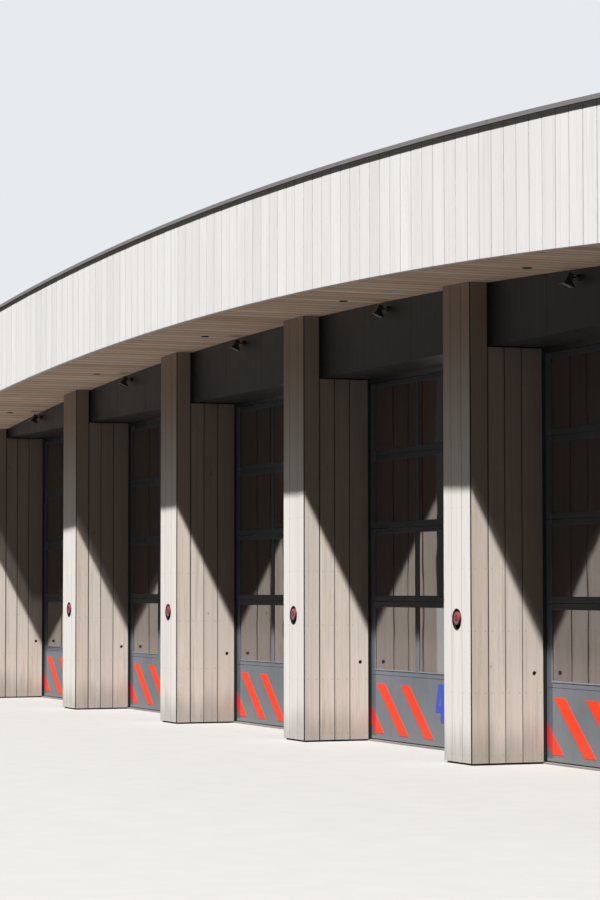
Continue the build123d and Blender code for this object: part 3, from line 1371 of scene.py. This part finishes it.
@dataclass
class Fin:
    """Boarded box between two doorways, with its lamp recess and sensor holes."""

    number: int
    station: Station
    yard: BoardYard
    front_spans: tuple = ((0.0, 0.158), (0.164, 0.364), (0.370, 0.538))
    front_thick: float = 0.016
    side_spans: tuple = ((0.011, 0.160), (0.172, 0.324), (0.332, 0.490), (0.498, 0.695))
    post_spans: tuple = ((0.703, 0.851), (0.859, 0.995))
    corner_gap: float = 0.008
    head_gap: float = 0.012
    post_half: float = 0.120
    drill_lead: float = 0.050
    recess_radius: float = 0.0975
    eye_radius: float = 0.020
    eye_depth: float = 0.030

    def build(self) -> None:
        """Model and dress the fin."""
        x = self.station.fins[self.number - 1]
        fin = join_all([self._front(x), self._side(x, 1), self._side(x, -1), *self._core(x)])
        fin.cut_to_roof(x)
        fin.deliver(f"fin_{self.number}_cladding", "timber", f"fin_{self.number}")

    def _recess(self, x: float) -> Workpiece:
        """Drill for the round lamp recess.

        Args:
            x: The fin's centre.

        Returns:
            The drill.
        """
        station = self.station
        centre = (x - station.beacon_aside,
                  station.front + (station.beacon_depth - self.drill_lead) / 2,
                  station.beacon_height)
        return Workpiece.cylinder(centre, self.recess_radius,
                                  station.beacon_depth + self.drill_lead)

    def _front(self, x: float) -> Workpiece:
        """Three boards across the front, drilled for the lamp.

        Args:
            x: The fin's centre.

        Returns:
            The joined boards.
        """
        station = self.station
        left = x - station.fin_half
        boards = [self.yard.upright(Facing.FRONT, station.front, left + low, left + high,
                                    station.foot, station.tall, Finishes.BLEACHED,
                                    thick=self.front_thick)
                  for low, high in self.front_spans]
        front = join_all(boards).drill(self._recess(x))
        last_edge = left + self.front_spans[-1][1]
        # Painted shade: the last board's right end face, in the gap at the corner, is dressed
        # black like the membrane
        return front.dress_faces(looks(RIGHT, last_edge - CLOSE), Finishes.BACKING)

    def _is_outer(self, side: int) -> bool:
        """Whether that side is an end of the building."""
        return self.number == (1 if side < 0 else self.station.bays + 1)

    def _side(self, x: float, side: int) -> Workpiece:
        """Boards along one side, lower where they pass under the lintel.

        Args:
            x: The fin's centre.
            side: 1 for the right side, -1 for the left.

        Returns:
            The joined boards.
        """
        station = self.station
        plane = x + side * station.fin_half
        facing = Facing.RIGHT if side > 0 else Facing.LEFT
        outer = self._is_outer(side)
        boards = []
        for number, (near, far) in enumerate(self.side_spans + (self.post_spans if outer else ())):
            if number == 0 and side < 0:
                near = station.board + self.corner_gap
            under_lintel = number > 0 and not outer
            head = station.lintel_foot - self.head_gap if under_lintel else station.tall
            boards.append(self.yard.upright(facing, plane, station.front + near,
                                            station.front + far, station.foot, head,
                                            Finishes.TIMBER))
        cladding = join_all(boards)
        if not outer:
            hole = (plane, station.front + station.eye_back, station.eye_height)
            cladding.drill(Workpiece.cylinder(hole, self.eye_radius, self.eye_depth * 2,
                                              TO_THE_SIDE, sides=32))
        return cladding

    def _core(self, x: float) -> list[Workpiece]:
        """Dark box behind the boards, and the post that carries the door frames.

        Args:
            x: The fin's centre.

        Returns:
            The box and the post.
        """
        station = self.station
        inner = station.fin_half - station.board
        box = Workpiece.block((x - inner, station.front + station.board, 0),
                              (x + inner, station.fin_back, station.tall))
        box.drill(self._recess(x))
        left = -station.half + station.board if self._is_outer(-1) else x - self.post_half
        right = station.half - station.board if self._is_outer(1) else x + self.post_half
        post = Workpiece.block((left, station.fin_back, 0),
                               (right, station.post_back, station.tall))
        return [box.dress(Finishes.BACKING), post.dress(Finishes.BACKING)]


@dataclass
class BoardedWall:
    """End or rear wall: boards over a dark membrane, with a plain lining inside."""

    name: str
    facing: Facing
    station: Station
    yard: BoardYard
    widths: tuple = (0.160, 0.152, 0.196, 0.158, 0.205)
    gap: float = 0.008
    spare: float = 0.05
    least_share: float = 1.5

    def build(self) -> None:
        """Model and dress the wall."""
        out, board = self.facing.out, self.station.board
        core = Workpiece.node_copy(self.name).set_back(out, board)
        if self.facing is not Facing.REAR:
            core.set_back(BACK, board)
        core.dress(Finishes.BACKING).dress_faces(looks(-out), Finishes.PANEL)
        core.absorb(self._boards()).deliver(self.name + "_cladding", "timber", self.name)

    def _boards(self) -> list[Workpiece]:
        """Boards side by side, each cut to the roof line.

        Returns:
            The boards.
        """
        low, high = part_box(self.name)
        is_rear = self.facing is Facing.REAR
        plane = self.facing.plane(self.name)
        reach = self.station.half - self.station.board
        edge, end = (-reach, reach) if is_rear else (low.y, high.y)
        boards, widths = [], cycle(self.widths)
        while edge < end - self.gap * 2:
            wide = next(widths)
            far = end if end - edge < wide * self.least_share else edge + wide
            x = (edge + far) / 2 if is_rear else plane
            board = self.yard.upright(self.facing, plane, edge, far, self.station.foot,
                                      ROOF.height(x) + self.spare, Finishes.WALL)
            boards.append(board.cut_to_roof(x))
            edge = far + self.gap
        return boards


@dataclass(frozen=True)
class Spacing:
    """Joints at one pitch, with the end boards cut to fit."""

    pitch: float = 0.2154
    start: float = -0.038
    least: float = 0.060

    def spans(self, low: float, high: float, gap: float) -> list[tuple[float, float]]:
        """Edges of the boards between two ends.

        Args:
            low: Lower end.
            high: Higher end.
            gap: Width of the joints.

        Returns:
            The lower and higher edge of each board.
        """
        first = math.ceil((low + self.least - self.start) / self.pitch)
        last = math.floor((high - self.least - self.start) / self.pitch)
        joints = [self.start + number * self.pitch for number in range(first, last + 1)]
        places = [low - gap / 2, *joints, high + gap / 2]
        return [(a + gap / 2, b - gap / 2) for a, b in zip(places, places[1:])]


@dataclass
class RoofEdge:
    """Boards round the edge of the roof, over a dark membrane."""

    yard: BoardYard
    spacing: Spacing = Spacing()
    gap: float = 0.007
    backing_depth: float = 0.022
    level_share: float = 0.7

    def __post_init__(self) -> None:
        """Measure the edge."""
        self.low, self.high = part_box("fascia_front")
        self.tall = self.high.z - ROOF.crown

    def build(self) -> None:
        """Model and dress the four sides."""
        for name, facing in (("fascia_front", Facing.FRONT), ("fascia_rear", Facing.REAR),
                             ("fascia_left", Facing.LEFT), ("fascia_right", Facing.RIGHT)):
            boards = self._boards(facing, facing.plane(name))
            core = Workpiece.node_copy(name).set_back(facing.out, self.backing_depth)
            core.dress(Finishes.BACKING)
            core.dress_faces(looks(-UP, share=self.level_share), Finishes.FASCIA)
            core.absorb(boards).deliver(name + "_boards", "fascia", name)

    def _boards(self, facing: Facing, plane: float) -> list[Workpiece]:
        """Boards of one side, which follow the arch at the front and rear.

        Args:
            facing: Way that the side looks.
            plane: Place of its outer face.

        Returns:
            The boards.
        """
        end = -self.low.y - self.yard.thick
        ends = (self.low.x, self.high.x) if facing.along_x else (-end, end)
        boards = []
        for low, high in self.spacing.spans(*ends, self.gap):
            x = (low + high) / 2 if facing.along_x else plane
            foot = ROOF.height(x)
            boards.append(self.yard.upright(facing, plane, low, high, foot, foot + self.tall,
                                            Finishes.FASCIA,
                                            ROOF.leaning(x) if facing.along_x else None))
        return boards


@dataclass
class Ceiling:
    """Boards under the roof that run from front to back and follow the arch."""

    station: Station
    yard: BoardYard
    spacing: Spacing = Spacing()
    gap: float = 0.008
    hole_radius: float = 0.0445
    hole_depth: float = 0.1
    level_share: float = 0.7

    def build(self) -> None:
        """Model and dress the ceiling."""
        low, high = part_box("soffit")
        station = self.station
        boards = []
        for left, right in self.spacing.spans(low.x, high.x, self.gap):
            x = (left + right) / 2
            start = (left, high.y, ROOF.height(x))
            boards.append(self.yard.board(Facing.DOWN, start, right - left, high.y - low.y,
                                          Finishes.SOFFIT, ROOF.leaning(x)))
        under = join_all(boards)
        for bay in station.bays_x:
            x = bay - station.lamp_aside
            place = (x, station.front - station.lamp_out, ROOF.height(x))
            under.drill(Workpiece.cylinder(place, self.hole_radius, self.hole_depth, UPRIGHT,
                                           sides=40))
        core = Workpiece.node_copy("soffit")
        core.shift(looks(-UP, share=self.level_share), UP * self.yard.thick)
        core.dress(Finishes.BACKING)
        core.absorb([under]).deliver("ceiling_boards", "soffit", "soffit")


@dataclass
class Lintels:
    """Sheet boxes over the doorways, with a folded drip along the lower edge."""

    station: Station
    drip_height: float = 0.010
    drip_proud: float = 0.003
    drip_lap: float = 0.002
    drip_ease: float = 0.001
    end_gap: float = 0.004

    def build(self) -> None:
        """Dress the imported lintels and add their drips."""
        station = self.station
        front, foot = station.lintel_front, station.lintel_foot
        half = station.doorway_half - self.end_gap
        drips = []
        for number, x in enumerate(station.bays_x, 1):
            paint(f"lintel_{number}", Finishes.LINTEL)
            drip = Workpiece.block((x - half, front - self.drip_proud, foot),
                                   (x + half, front + self.drip_lap, foot + self.drip_height))
            drips.append(drip.ease(self.drip_ease).dress(Finishes.LINTEL))
        join_all(drips).deliver("lintel_drips", "lintel")


@dataclass(frozen=True)
class Figure:
    """The number on a door, in plain figures, with a narrow 4 built up from blocks."""

    number: int
    x: float
    front: float
    low: float = 0.246
    high: float = 0.619
    thick: float = 0.0006
    lap: float = 0.0005
    aside: float = -0.006
    squeeze: float = 0.80
    bold: float = 0.008
    raised: float = 0.001
    left: float = -0.105
    stem: tuple[float, float] = (0.002, 0.075)
    bar: tuple[float, float] = (0.345, 0.410)
    bar_right: float = 0.103
    slant_foot: float = 0.400
    slant: tuple[float, float, float] = (-0.219, 0, 0.067)
    slit_left: float = -0.034
    slit_head: float = 0.528
    slit_reach: float = 0.01
    ease: float = 0.0002

    def build(self) -> Workpiece:
        """The figure in its finish."""
        return (self._four() if self.number == 4 else self._text()).dress(Finishes.NUMBER)

    def _block(self, left: float, right: float, foot: float, head: float,
               reach: float = 0.0) -> Workpiece:
        """Thin block on the door's face.

        Args:
            left: Left edge, from the middle of the door.
            right: Right edge, from there too.
            foot: Height of its foot.
            head: Height of its head.
            reach: How far it stands out in front and behind.

        Returns:
            The block.
        """
        return Workpiece.block((self.x + left, self.front - self.thick - reach, foot),
                               (self.x + right, self.front + self.lap + reach, head))

    def _four(self) -> Workpiece:
        """Figure 4 with a slit for its counter.

        Returns:
            The figure.
        """
        (stem_left, stem_right), (bar_foot, bar_head) = self.stem, self.bar
        body = self._block(self.left, stem_right, bar_foot, self.high)
        body.cut((self.x + self.left, 0, self.slant_foot), self.slant)
        slit = self._block(self.slit_left, stem_left, bar_head, self.slit_head, self.slit_reach)
        body.drill(slit.cut((self.x + self.slit_left, 0, bar_head), self.slant))
        stem = self._block(stem_left, stem_right, self.low, bar_foot)
        bar = self._block(stem_right, self.bar_right, bar_foot, bar_head)
        return body.absorb([stem.ease(self.ease), bar.ease(self.ease)])

    def _text(self) -> Workpiece:
        """Figure from a text, brought to its height and width.

        Returns:
            The figure.
        """
        deselect()
        bpy.ops.object.text_add(rotation=TO_THE_BACK)
        text = bpy.context.object
        text.data.body = str(self.number)
        text.data.align_x = "CENTER"
        text.data.offset = self.bold
        text.data.extrude = self.raised
        bpy.ops.object.convert(target="MESH")
        piece = Workpiece.settled()
        mesh = piece.obj.data
        corners = np.array([vertex.co for vertex in mesh.vertices])
        low, high = corners.min(0), corners.max(0)
        size = (self.high - self.low) / (high[2] - low[2])
        scale = Matrix.Diagonal((size * self.squeeze, self.thick / (high[1] - low[1]), size, 1))
        place = Vector((self.x + self.aside, self.front - self.thick / 2,
                        (self.low + self.high) / 2))
        mesh.transform(Matrix.Translation(place) @ scale
                       @ Matrix.Translation(-Vector((low + high) / 2)))
        return piece


@dataclass
class Door:
    """Beads, end caps, warning stripes and number on one sectional door."""

    number: int
    station: Station
    columns: int = 3
    rows: int = 4
    mullion: float = 0.090
    rail: float = 0.056
    bead: float = 0.006
    bead_slope: float = 0.009
    bead_sink: float = 0.0032
    bead_lap: float = 0.002
    bead_proud: float = 0.004
    bead_gap: float = 0.0002
    joint: float = 0.004
    paint_thick: float = 0.0006
    paint_lap: float = 0.001
    stripe_foot: float = 0.083
    stripe_head: float = 0.581
    stripe_width: float = 0.213
    stripe_lean: float = 0.565
    stripe_pitch: float = 0.586
    first_stripe: float = -2.098
    stripes: tuple = (0, 1, 2, 4, 5, 6)
    cap_width: float = 0.149
    cap_proud: float = 0.0012
    cap_ease: float = 0.0006
    paint_gap: float = 0.0002
    strip_inner: float = 0.045

    def __post_init__(self) -> None:
        """Measure the leaf."""
        self.x = self.station.bays_x[self.number - 1]
        self.low, self.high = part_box(f"door_{self.number}_leaf")
        self.glass_low, self.glass_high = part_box(f"door_{self.number}_glass")
        self.front = self.station.door_front
        wide = self.glass_high.x - self.glass_low.x
        self.pane = (wide - (self.columns - 1) * self.mullion) / self.columns
        self.plain_top = self.glass_low.z - self.rail
        self.section = (self.high.z + self.joint - self.plain_top) / self.rows

    def build(self) -> None:
        """Dress the leaf and add its small parts."""
        paint(f"door_{self.number}_leaf", Finishes.DOOR)
        paint(f"door_{self.number}_glass", Finishes.GLASS)
        self._beads().deliver(f"door_{self.number}_glazing_beads", "door")
        self._caps().deliver(f"door_{self.number}_end_caps", "door")
        self._stripes().deliver(f"door_{self.number}_stripes", "door")
        Figure(self.number, self.x, self.front).build().deliver(f"door_{self.number}_number",
                                                                "door")

    def _beads(self) -> Workpiece:
        """Raised bead round every pane.

        Returns:
            The joined beads.
        """
        tall = self.section - 2 * self.rail
        out = self.bead + self.bead_slope - self.bead_lap
        left, foot = self.glass_low.x - out, self.glass_low.z - out
        ring = Workpiece.block((left, self.front - self.bead_proud, foot),
                               (left + self.pane + 2 * out, self.glass_low.y - self.bead_gap,
                                foot + tall + 2 * out))
        ring.bridge_through(lambda centre, normal: abs(normal.y) > SQUARE, self.bead,
                            self.bead_slope, self.bead_sink)
        ring.dress(Finishes.DOOR)
        rings = [ring.moved((column * (self.pane + self.mullion), 0, row * self.section))
                 for column in range(self.columns) for row in range(self.rows)
                 if column or row]
        return ring.absorb(rings)

    def _caps(self) -> Workpiece:
        """Metal cap on both ends of each section.

        Returns:
            The joined caps.
        """
        caps = []
        for row in range(self.rows + 1):
            foot = self.low.z if row == 0 else self.plain_top + (row - 1) * self.section
            head = self.plain_top + row * self.section - self.joint
            for left in (self.low.x, self.high.x - self.cap_width):
                cap = Workpiece.block((left, self.front - self.cap_proud, foot),
                                      (left + self.cap_width, self.front + self.paint_lap, head))
                caps.append(cap.ease(self.cap_ease).dress(Finishes.END_CAP))
        return join_all(caps)

    def _stripe(self, left: float) -> Workpiece:
        """One leaning stripe whose upper left corner is at left.

        Args:
            left: Place of that corner.

        Returns:
            The stripe.
        """
        front = self.front - self.cap_proud - self.paint_gap - self.paint_thick
        stripe = Workpiece.block((left, front, self.stripe_foot),
                                 (left + self.stripe_width, self.front + self.paint_lap,
                                  self.stripe_head))
        return stripe.shift(looks(-UP), RIGHT * self.stripe_lean)

    def _stripes(self) -> Workpiece:
        """Stripes on both sides of the number, darker on the end caps.

        Returns:
            The joined stripes.
        """
        parts = []
        for place in self.stripes:
            left = self.x + self.first_stripe + place * self.stripe_pitch
            stripe = self._stripe(left)
            right = left + self.stripe_lean + self.stripe_width
            if left < self.low.x + self.cap_width:
                parts.append(self._end_part(stripe, self.low.x, 1))
            if right > self.high.x - self.cap_width:
                parts.append(self._end_part(stripe, self.high.x, -1))
            parts.append(stripe.dress(Finishes.STRIPE))
        return join_all([part for part in parts if part.obj.data.polygons])

    def _end_part(self, stripe: Workpiece, edge: float, inwards: int) -> Workpiece:
        """Cut a stripe's part on an end cap off and dress it in the darker red.

        Args:
            stripe: The stripe.
            edge: The door's edge on that side.
            inwards: 1 where the door lies to the right of it, else -1.

        Returns:
            The part on the cap.
        """
        cap = (edge + inwards * self.cap_width, 0, 0)
        frame_edge = (edge + inwards * self.strip_inner, 0, 0)
        part = stripe.copy().cut(cap, RIGHT * inwards).cut(frame_edge, RIGHT * -inwards)
        stripe.cut(cap, RIGHT * -inwards)
        return part.dress(Finishes.STRIPE_DARK)


@dataclass
class Beacons:
    """Round warning lamps sunk in the fins."""

    station: Station
    radius: float = 0.097
    wall: float = 0.006
    lens_radius: float = 0.058
    lens_rise: float = 0.012
    lens_steps: tuple = ((0.002, 0.003), (0.006, 0.002), (0.010, 0.001), (0.010, -0.002),
                         (0.008, -0.003), (0.006, 0.005))
    trim_round: float = 0.003
    mouth_share: float = 0.999
    rounded_share: float = 0.1
    rim_red: Colour = (0.34, 0.055, 0.080)
    middle_red: Colour = (0.13, 0.001, 0.006)

    def __post_init__(self) -> None:
        """Place the cup and the lens."""
        self.height = self.station.beacon_height
        self.lens_height = self.height + self.lens_rise
        self.inside = self.station.beacon_depth - self.wall

    def build(self) -> None:
        """Model one cup and one lens and copy them to every fin."""
        cup, lens = self._cup(), self._lens()
        self._row(cup, "beacon_cups", "bezel", "beacon_bezels")
        self._row(lens, "beacon_red_lenses", "lens", "beacon_lenses")

    def _row(self, first: Workpiece, name: str, slot: str, node: str) -> None:
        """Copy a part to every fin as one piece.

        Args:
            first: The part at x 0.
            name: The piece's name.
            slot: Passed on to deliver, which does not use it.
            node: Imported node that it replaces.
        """
        copies = [first.moved((x - self.station.beacon_aside, 0, 0)) for x in self.station.fins]
        first.scrap()
        join_all(copies).smooth().deliver(name, slot, node)

    def _cup(self) -> Workpiece:
        """Dark cup with a bright trim at its mouth.

        Returns:
            The cup at x 0.
        """
        front, depth = self.station.front, self.station.beacon_depth
        cup = Workpiece.cylinder((0, front + depth / 2, self.height), self.radius, depth, sides=64)
        cup.ease_round(looks(-BACK), self.trim_round, 3)
        cup.inset(looks(-BACK, share=self.mouth_share), self.wall - self.trim_round,
                  BACK * self.inside)
        cup.dress(Finishes.FRAME)
        trim_end = -(front + self.trim_round)
        return cup.dress_faces(looks(-BACK, trim_end, self.rounded_share), Finishes.CHROME)

    def _lens(self) -> Workpiece:
        """Lens that steps in towards a round boss.

        Returns:
            The lens at x 0.
        """
        middle = Vector((0, self.lens_height))
        lens = Workpiece.cylinder((0, self.station.front + self.inside / 2, self.lens_height),
                                  self.lens_radius, self.inside)
        for width, rise in self.lens_steps:
            lens.inset(lambda c, n: n.y < -SQUARE and (c.xz - middle).length < CLOSE,
                       width, BACK * -rise)
        return lens.dress(self._red())

    def _red(self) -> LensFinish:
        """Red finish centred on each lens.

        Returns:
            The finish.
        """
        return LensFinish("red_lens", rim=self.rim_red, middle=self.middle_red,
                          radius=self.lens_radius, centre_height=self.lens_height,
                          start=-self.station.beacon_aside, pitch=self.station.pitch)


@dataclass
class Downlights:
    """Small round lamps set flush in the soffit."""

    station: Station
    radius: float = 0.0443
    lift: float = 0.030
    rim: float = 0.006
    rim_ease: float = 0.001
    proud: float = 0.003
    sink: float = 0.004

    def build(self) -> None:
        """Model one lamp and copy it to every bay."""
        lamp = self._lamp()
        copies = []
        for bay in self.station.bays_x:
            x = bay - self.station.lamp_aside
            copies.append(lamp.moved((x, self.station.front - self.station.lamp_out,
                                      ROOF.height(x))))
        lamp.scrap()
        join_all(copies).smooth().deliver("soffit_downlights", "lamp", "downlights")

    def _lamp(self) -> Workpiece:
        """Lamp whose rim hangs just below height 0.

        Returns:
            The lamp at the origin.
        """
        lamp = Workpiece.cylinder((0, 0, (self.lift - self.proud) / 2), self.radius,
                                  self.lift + self.proud, UPRIGHT, sides=40)
        lamp.ease_round(looks(-UP), self.rim_ease)
        lamp.inset(looks(-UP, self.proud - CLOSE), self.rim, UP * self.sink)
        return lamp.dress(Finishes.DARK_LAMP)


@dataclass
class SensorEyes:
    """Small eyes at the bottom of the holes beside each doorway."""

    station: Station
    radius: float = 0.0195
    inset: float = 0.012
    thick: float = 0.018
    rim: float = 0.004
    sink: float = 0.003
    lens_rim: float = 0.003
    lens_rise: float = 0.002

    def build(self) -> None:
        """Model one eye and copy it to both sides of every doorway."""
        eye = self._eye()
        reach = self.station.doorway_half
        y = self.station.front + self.station.eye_back
        about_face = Matrix.Rotation(math.pi, 4, "Z") @ Matrix.Translation((0, -2 * y, 0))
        copies = []
        for x in self.station.bays_x:
            copies.append(eye.moved((x - reach, 0, 0)))
            copies.append(eye.copy(Matrix.Translation((x + reach, 0, 0)) @ about_face))
        eye.scrap()
        join_all(copies).smooth().deliver("sensor_eyes", "sensor", "photocells")

    def _eye(self) -> Workpiece:
        """Eye that looks to the right from x 0, with a sunk lens.

        Returns:
            The eye.
        """
        middle = Vector((self.station.front + self.station.eye_back, self.station.eye_height))
        eye = Workpiece.cylinder((-self.inset - self.thick / 2, *middle), self.radius, self.thick,
                                 TO_THE_SIDE, sides=32)

        def in_the_middle(centre: Vector, normal: Vector) -> bool:
            """Whether a face is the round one in front."""
            return normal.x > SQUARE and (centre.yz - middle).length < CLOSE

        eye.inset(in_the_middle, self.rim, RIGHT * -self.sink)
        eye.inset(in_the_middle, self.lens_rim, RIGHT * self.lens_rise)
        return eye.dress(Finishes.FRAME).dress_faces(in_the_middle, Finishes.SENSOR)


@dataclass
class Floodlights:
    """Lamp heads on short arms, high on the lintels."""

    station: Station
    drop: float = 0.076
    box_radius: float = 0.028
    box_depth: float = 0.034
    reach: float = 0.094
    aside: float = 0.030
    length: float = 0.112
    neck: float = 0.048
    mouth: float = 0.104
    lip: float = 0.014
    tilt: float = 21.0
    arm_half: float = 0.011
    yoke: float = 0.006
    box_ease: float = 0.003
    arm_ease: float = 0.0015
    head_ease: float = 0.002
    glass_rim: float = 0.006
    glass_sink: float = 0.005
    level_share: float = 0.95

    def build(self) -> None:
        """Model one floodlight and copy it to every bay."""
        light = self._light()
        copies = []
        for bay in self.station.bays_x:
            x = bay + self.aside
            copies.append(light.moved((x, self.station.lintel_front, ROOF.height(x) - self.drop)))
        light.scrap()
        join_all(copies).deliver("floodlights", "lamp", "spotlights")

    def _light(self) -> Workpiece:
        """Floodlight whose box stands on y 0 at the origin.

        Returns:
            The floodlight.
        """
        box = Workpiece.cylinder((0, -self.box_depth / 2, 0), self.box_radius, self.box_depth)
        box.ease_round(looks(-BACK), self.box_ease)
        arm = Workpiece.block((-self.arm_half, -self.reach, -self.yoke),
                              (self.arm_half, -self.box_depth, self.yoke)).ease(self.arm_ease)
        head = self._head().turn((0, 0, 0), math.radians(-self.tilt), "X")
        head.obj.data.transform(Matrix.Translation((0, -self.reach, 0)))
        return head.absorb([box.dress(Finishes.LAMP), arm.dress(Finishes.LAMP)])

    def _head(self) -> Workpiece:
        """Upright lamp head that widens from its throat to its mouth.

        Returns:
            The head.
        """
        half, wide = self.neck / 2, self.mouth / self.neck
        low, high = -2 * self.length / 3, self.length / 3
        throat, lip = low / 3, low + self.lip
        head = Workpiece.block((-half, -half, throat), (half, half, high))
        head.grow(looks(-UP), UP * (lip - throat), (wide, wide, 1))
        head.grow(looks(-UP), UP * (low - lip), (1, 1, 1))
        head.ease(self.head_ease)
        head.inset(looks(-UP, -low - CLOSE, self.level_share), self.glass_rim,
                   UP * self.glass_sink)
        head.dress(Finishes.LAMP)
        glass = low + self.glass_sink
        return head.dress_faces(lambda centre, normal: (abs(normal.z) > self.level_share
                                                        and abs(centre.z - glass) < CLOSE),
                                Finishes.LAMP_GLASS)


@dataclass
class Studio:
    """Pale floor, soft key light and the photograph's camera."""

    eye: tuple = (24.961, -15.067, 1.544)
    heading: tuple = (-0.92655, 0.37618)
    pitch: float = 2.955
    roll: float = -0.053
    lens: float = 106.35
    sensor: float = 36.0
    view_end: float = 1000.0
    sun_side: float = 36.0
    sun_height: float = 57.4
    sun_strength: float = 6.55
    sun_spread: float = 1.2
    sun_colour: Colour = (1.0, 0.988, 0.966)
    front_fill: float = 0.05
    lamp_places: tuple = (-10.6, -6.36, -2.12, 2.12, 6.36, 10.6)
    lamp_size: tuple = (4.2, 1.0)
    lamp_row: float = -5.4
    lamp_power: float = 5.6
    lamp_fall: float = 0.13
    lamp_spread: float = 50.0
    lamp_lift: float = 0.002
    lamp_colour: Colour = (1.0, 0.93, 0.86)
    rear_fill: float = 0.80
    fill_colour: Colour = (1.0, 0.97, 0.93)
    floor_half: float = 160.0
    floor_drop: float = 0.001
    floor_shade: float = 0.96
    floor_colour: Colour = (0.47, 0.465, 0.455)
    bounce_colour: Colour = (0.072, 0.068, 0.064)
    seen_colour: Colour = (0.80, 0.83, 0.86)
    mirrored_colour: Colour = (0.045, 0.048, 0.045)

    def build(self) -> None:
        """Set up the floor, the lights and the camera."""
        bpy.context.scene.view_settings.view_transform = "Standard"
        self._floor()
        self._world()
        self._sun()
        self._eaves_lamps()
        self._camera()

    def _floor(self) -> None:
        """Level pale floor."""
        deselect()
        bpy.ops.mesh.primitive_plane_add(size=2 * self.floor_half,
                                         location=(0, 0, -self.floor_drop))
        floor = bpy.context.object
        floor.name = "studio_floor"
        s = Shader("studio_floor")
        place = s.place()
        grit = s.noise(place, 3.0, detail=5)
        darker = tuple(part * self.floor_shade for part in self.floor_colour)
        bounced = s.node("ShaderNodeLightPath", out="Is Diffuse Ray")
        colour = s.blend(bounced, s.blend(grit, self.floor_colour, darker), self.bounce_colour)
        floor.data.materials.append(s.close(colour, roughness=0.85, specular_ior_level=0.2))
        floor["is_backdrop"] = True

    def _world(self) -> None:
        """Fill weak ahead and strong behind; a pale backdrop where seen, a dark one where mirrored
        ahead.
        """
        world = bpy.data.worlds.new("studio")
        bpy.context.scene.world = world
        s = Shader("studio", owner=world)
        path = s.node("ShaderNodeLightPath", out="Is Camera Ray")
        glossy = path.other("Is Glossy Ray")
        seen = path.higher(glossy).higher(path.other("Is Transmission Ray"))
        x, y, _ = s.axes(s.node("ShaderNodeTexCoord", out="Generated"))
        behind = (y - x * 0.15).rise(0.05, 0.9)
        fill = behind * (self.rear_fill - self.front_fill) + self.front_fill
        light = s.node("ShaderNodeBackground", inputs={0: (*self.fill_colour, 1.0), 1: fill})
        ahead = y.rise(0.1, -0.3) * glossy
        shown = s.blend(ahead, self.seen_colour, self.mirrored_colour)
        back = s.node("ShaderNodeBackground", inputs={0: shown, 1: 1.0})
        both = s.node("ShaderNodeMixShader", inputs={0: seen, 1: light, 2: back})
        s.node("ShaderNodeOutputWorld", inputs={0: both})

    def _sun(self) -> None:
        """Key light from the front right."""
        side, height = math.radians(self.sun_side), math.radians(self.sun_height)
        towards = Vector((math.sin(side) * math.cos(height), -math.cos(side) * math.cos(height),
                          math.sin(height)))
        lamp = bpy.data.lights.new("key", "SUN")
        lamp.energy = self.sun_strength
        lamp.angle = math.radians(self.sun_spread)
        lamp.color = self.sun_colour
        obj = bpy.data.objects.new("key", lamp)
        obj.rotation_euler = towards.to_track_quat("Z", "Y").to_euler()
        bpy.context.scene.collection.objects.link(obj)

    def _eaves_lamps(self) -> None:
        """Soft lamps on the floor that lift the ceiling, a little stronger to the left."""
        for number, x in enumerate(self.lamp_places):
            lamp = bpy.data.lights.new("eaves_lamp", "AREA")
            lamp.shape = "RECTANGLE"
            lamp.size, lamp.size_y = self.lamp_size
            lamp.energy = self.lamp_power * (1 - number * self.lamp_fall)
            lamp.spread = math.radians(self.lamp_spread)
            lamp.color = self.lamp_colour
            obj = bpy.data.objects.new("eaves_lamp", lamp)
            obj.matrix_world = (Matrix.Translation((x, self.lamp_row, self.lamp_lift))
                                @ Matrix.Rotation(math.pi, 4, "X"))
            obj.visible_camera = obj.visible_glossy = obj.visible_transmission = False
            bpy.context.scene.collection.objects.link(obj)

    def _camera(self) -> None:
        """Camera at the photograph's place."""
        pitch = math.radians(self.pitch)
        look = Vector((self.heading[0] * math.cos(pitch), self.heading[1] * math.cos(pitch),
                       math.sin(pitch)))
        data = bpy.data.cameras.new("camera")
        data.sensor_width = self.sensor
        data.lens = self.lens
        data.clip_end = self.view_end
        camera = bpy.data.objects.new("camera", data)
        turn = look.to_track_quat("-Z", "Y").to_matrix().to_4x4()
        roll = Matrix.Rotation(math.radians(self.roll), 4, "Z")
        camera.matrix_world = Matrix.Translation(self.eye) @ turn @ roll
        bpy.context.scene.collection.objects.link(camera)
        bpy.context.scene.camera = camera


def paint(name: str, finish: Finish) -> None:
    """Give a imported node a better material.

    Args:
        name: The node.
        finish: Its finish.
    """
    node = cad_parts[name]
    for slot in node.material_slots:
        slot.material = finish.material()


def corners() -> list[list[float]]:
    """Box of the shown object as plain lists."""
    return [list(corner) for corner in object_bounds()]


def main() -> None:
    """Dress the station piece by piece."""
    logging.basicConfig(level=logging.INFO, format="%(name)s %(message)s")
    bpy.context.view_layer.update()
    station = Station()
    yard = BoardYard()
    for number in range(1, station.bays + 2):
        Fin(number, station, yard).build()
    BoardedWall("end_wall_left", Facing.LEFT, station, yard).build()
    BoardedWall("end_wall_right", Facing.RIGHT, station, yard).build()
    BoardedWall("rear_wall", Facing.REAR, station, yard).build()
    RoofEdge(yard).build()
    Ceiling(station, yard).build()
    Lintels(station).build()
    for number in range(1, station.bays + 1):
        Door(number, station).build()
    Beacons(station).build()
    Downlights(station).build()
    SensorEyes(station).build()
    Floodlights(station).build()
    for name, finish in (("door_frames", Finishes.FRAME), ("door_bottom_seals", Finishes.RUBBER),
                         ("coping", Finishes.COPING), ("parapet", Finishes.MEMBRANE),
                         ("roof_deck", Finishes.MEMBRANE), ("floor_slab", Finishes.CONCRETE)):
        paint(name, finish)
    Studio().build()


if __name__ == "__main__":
    main()
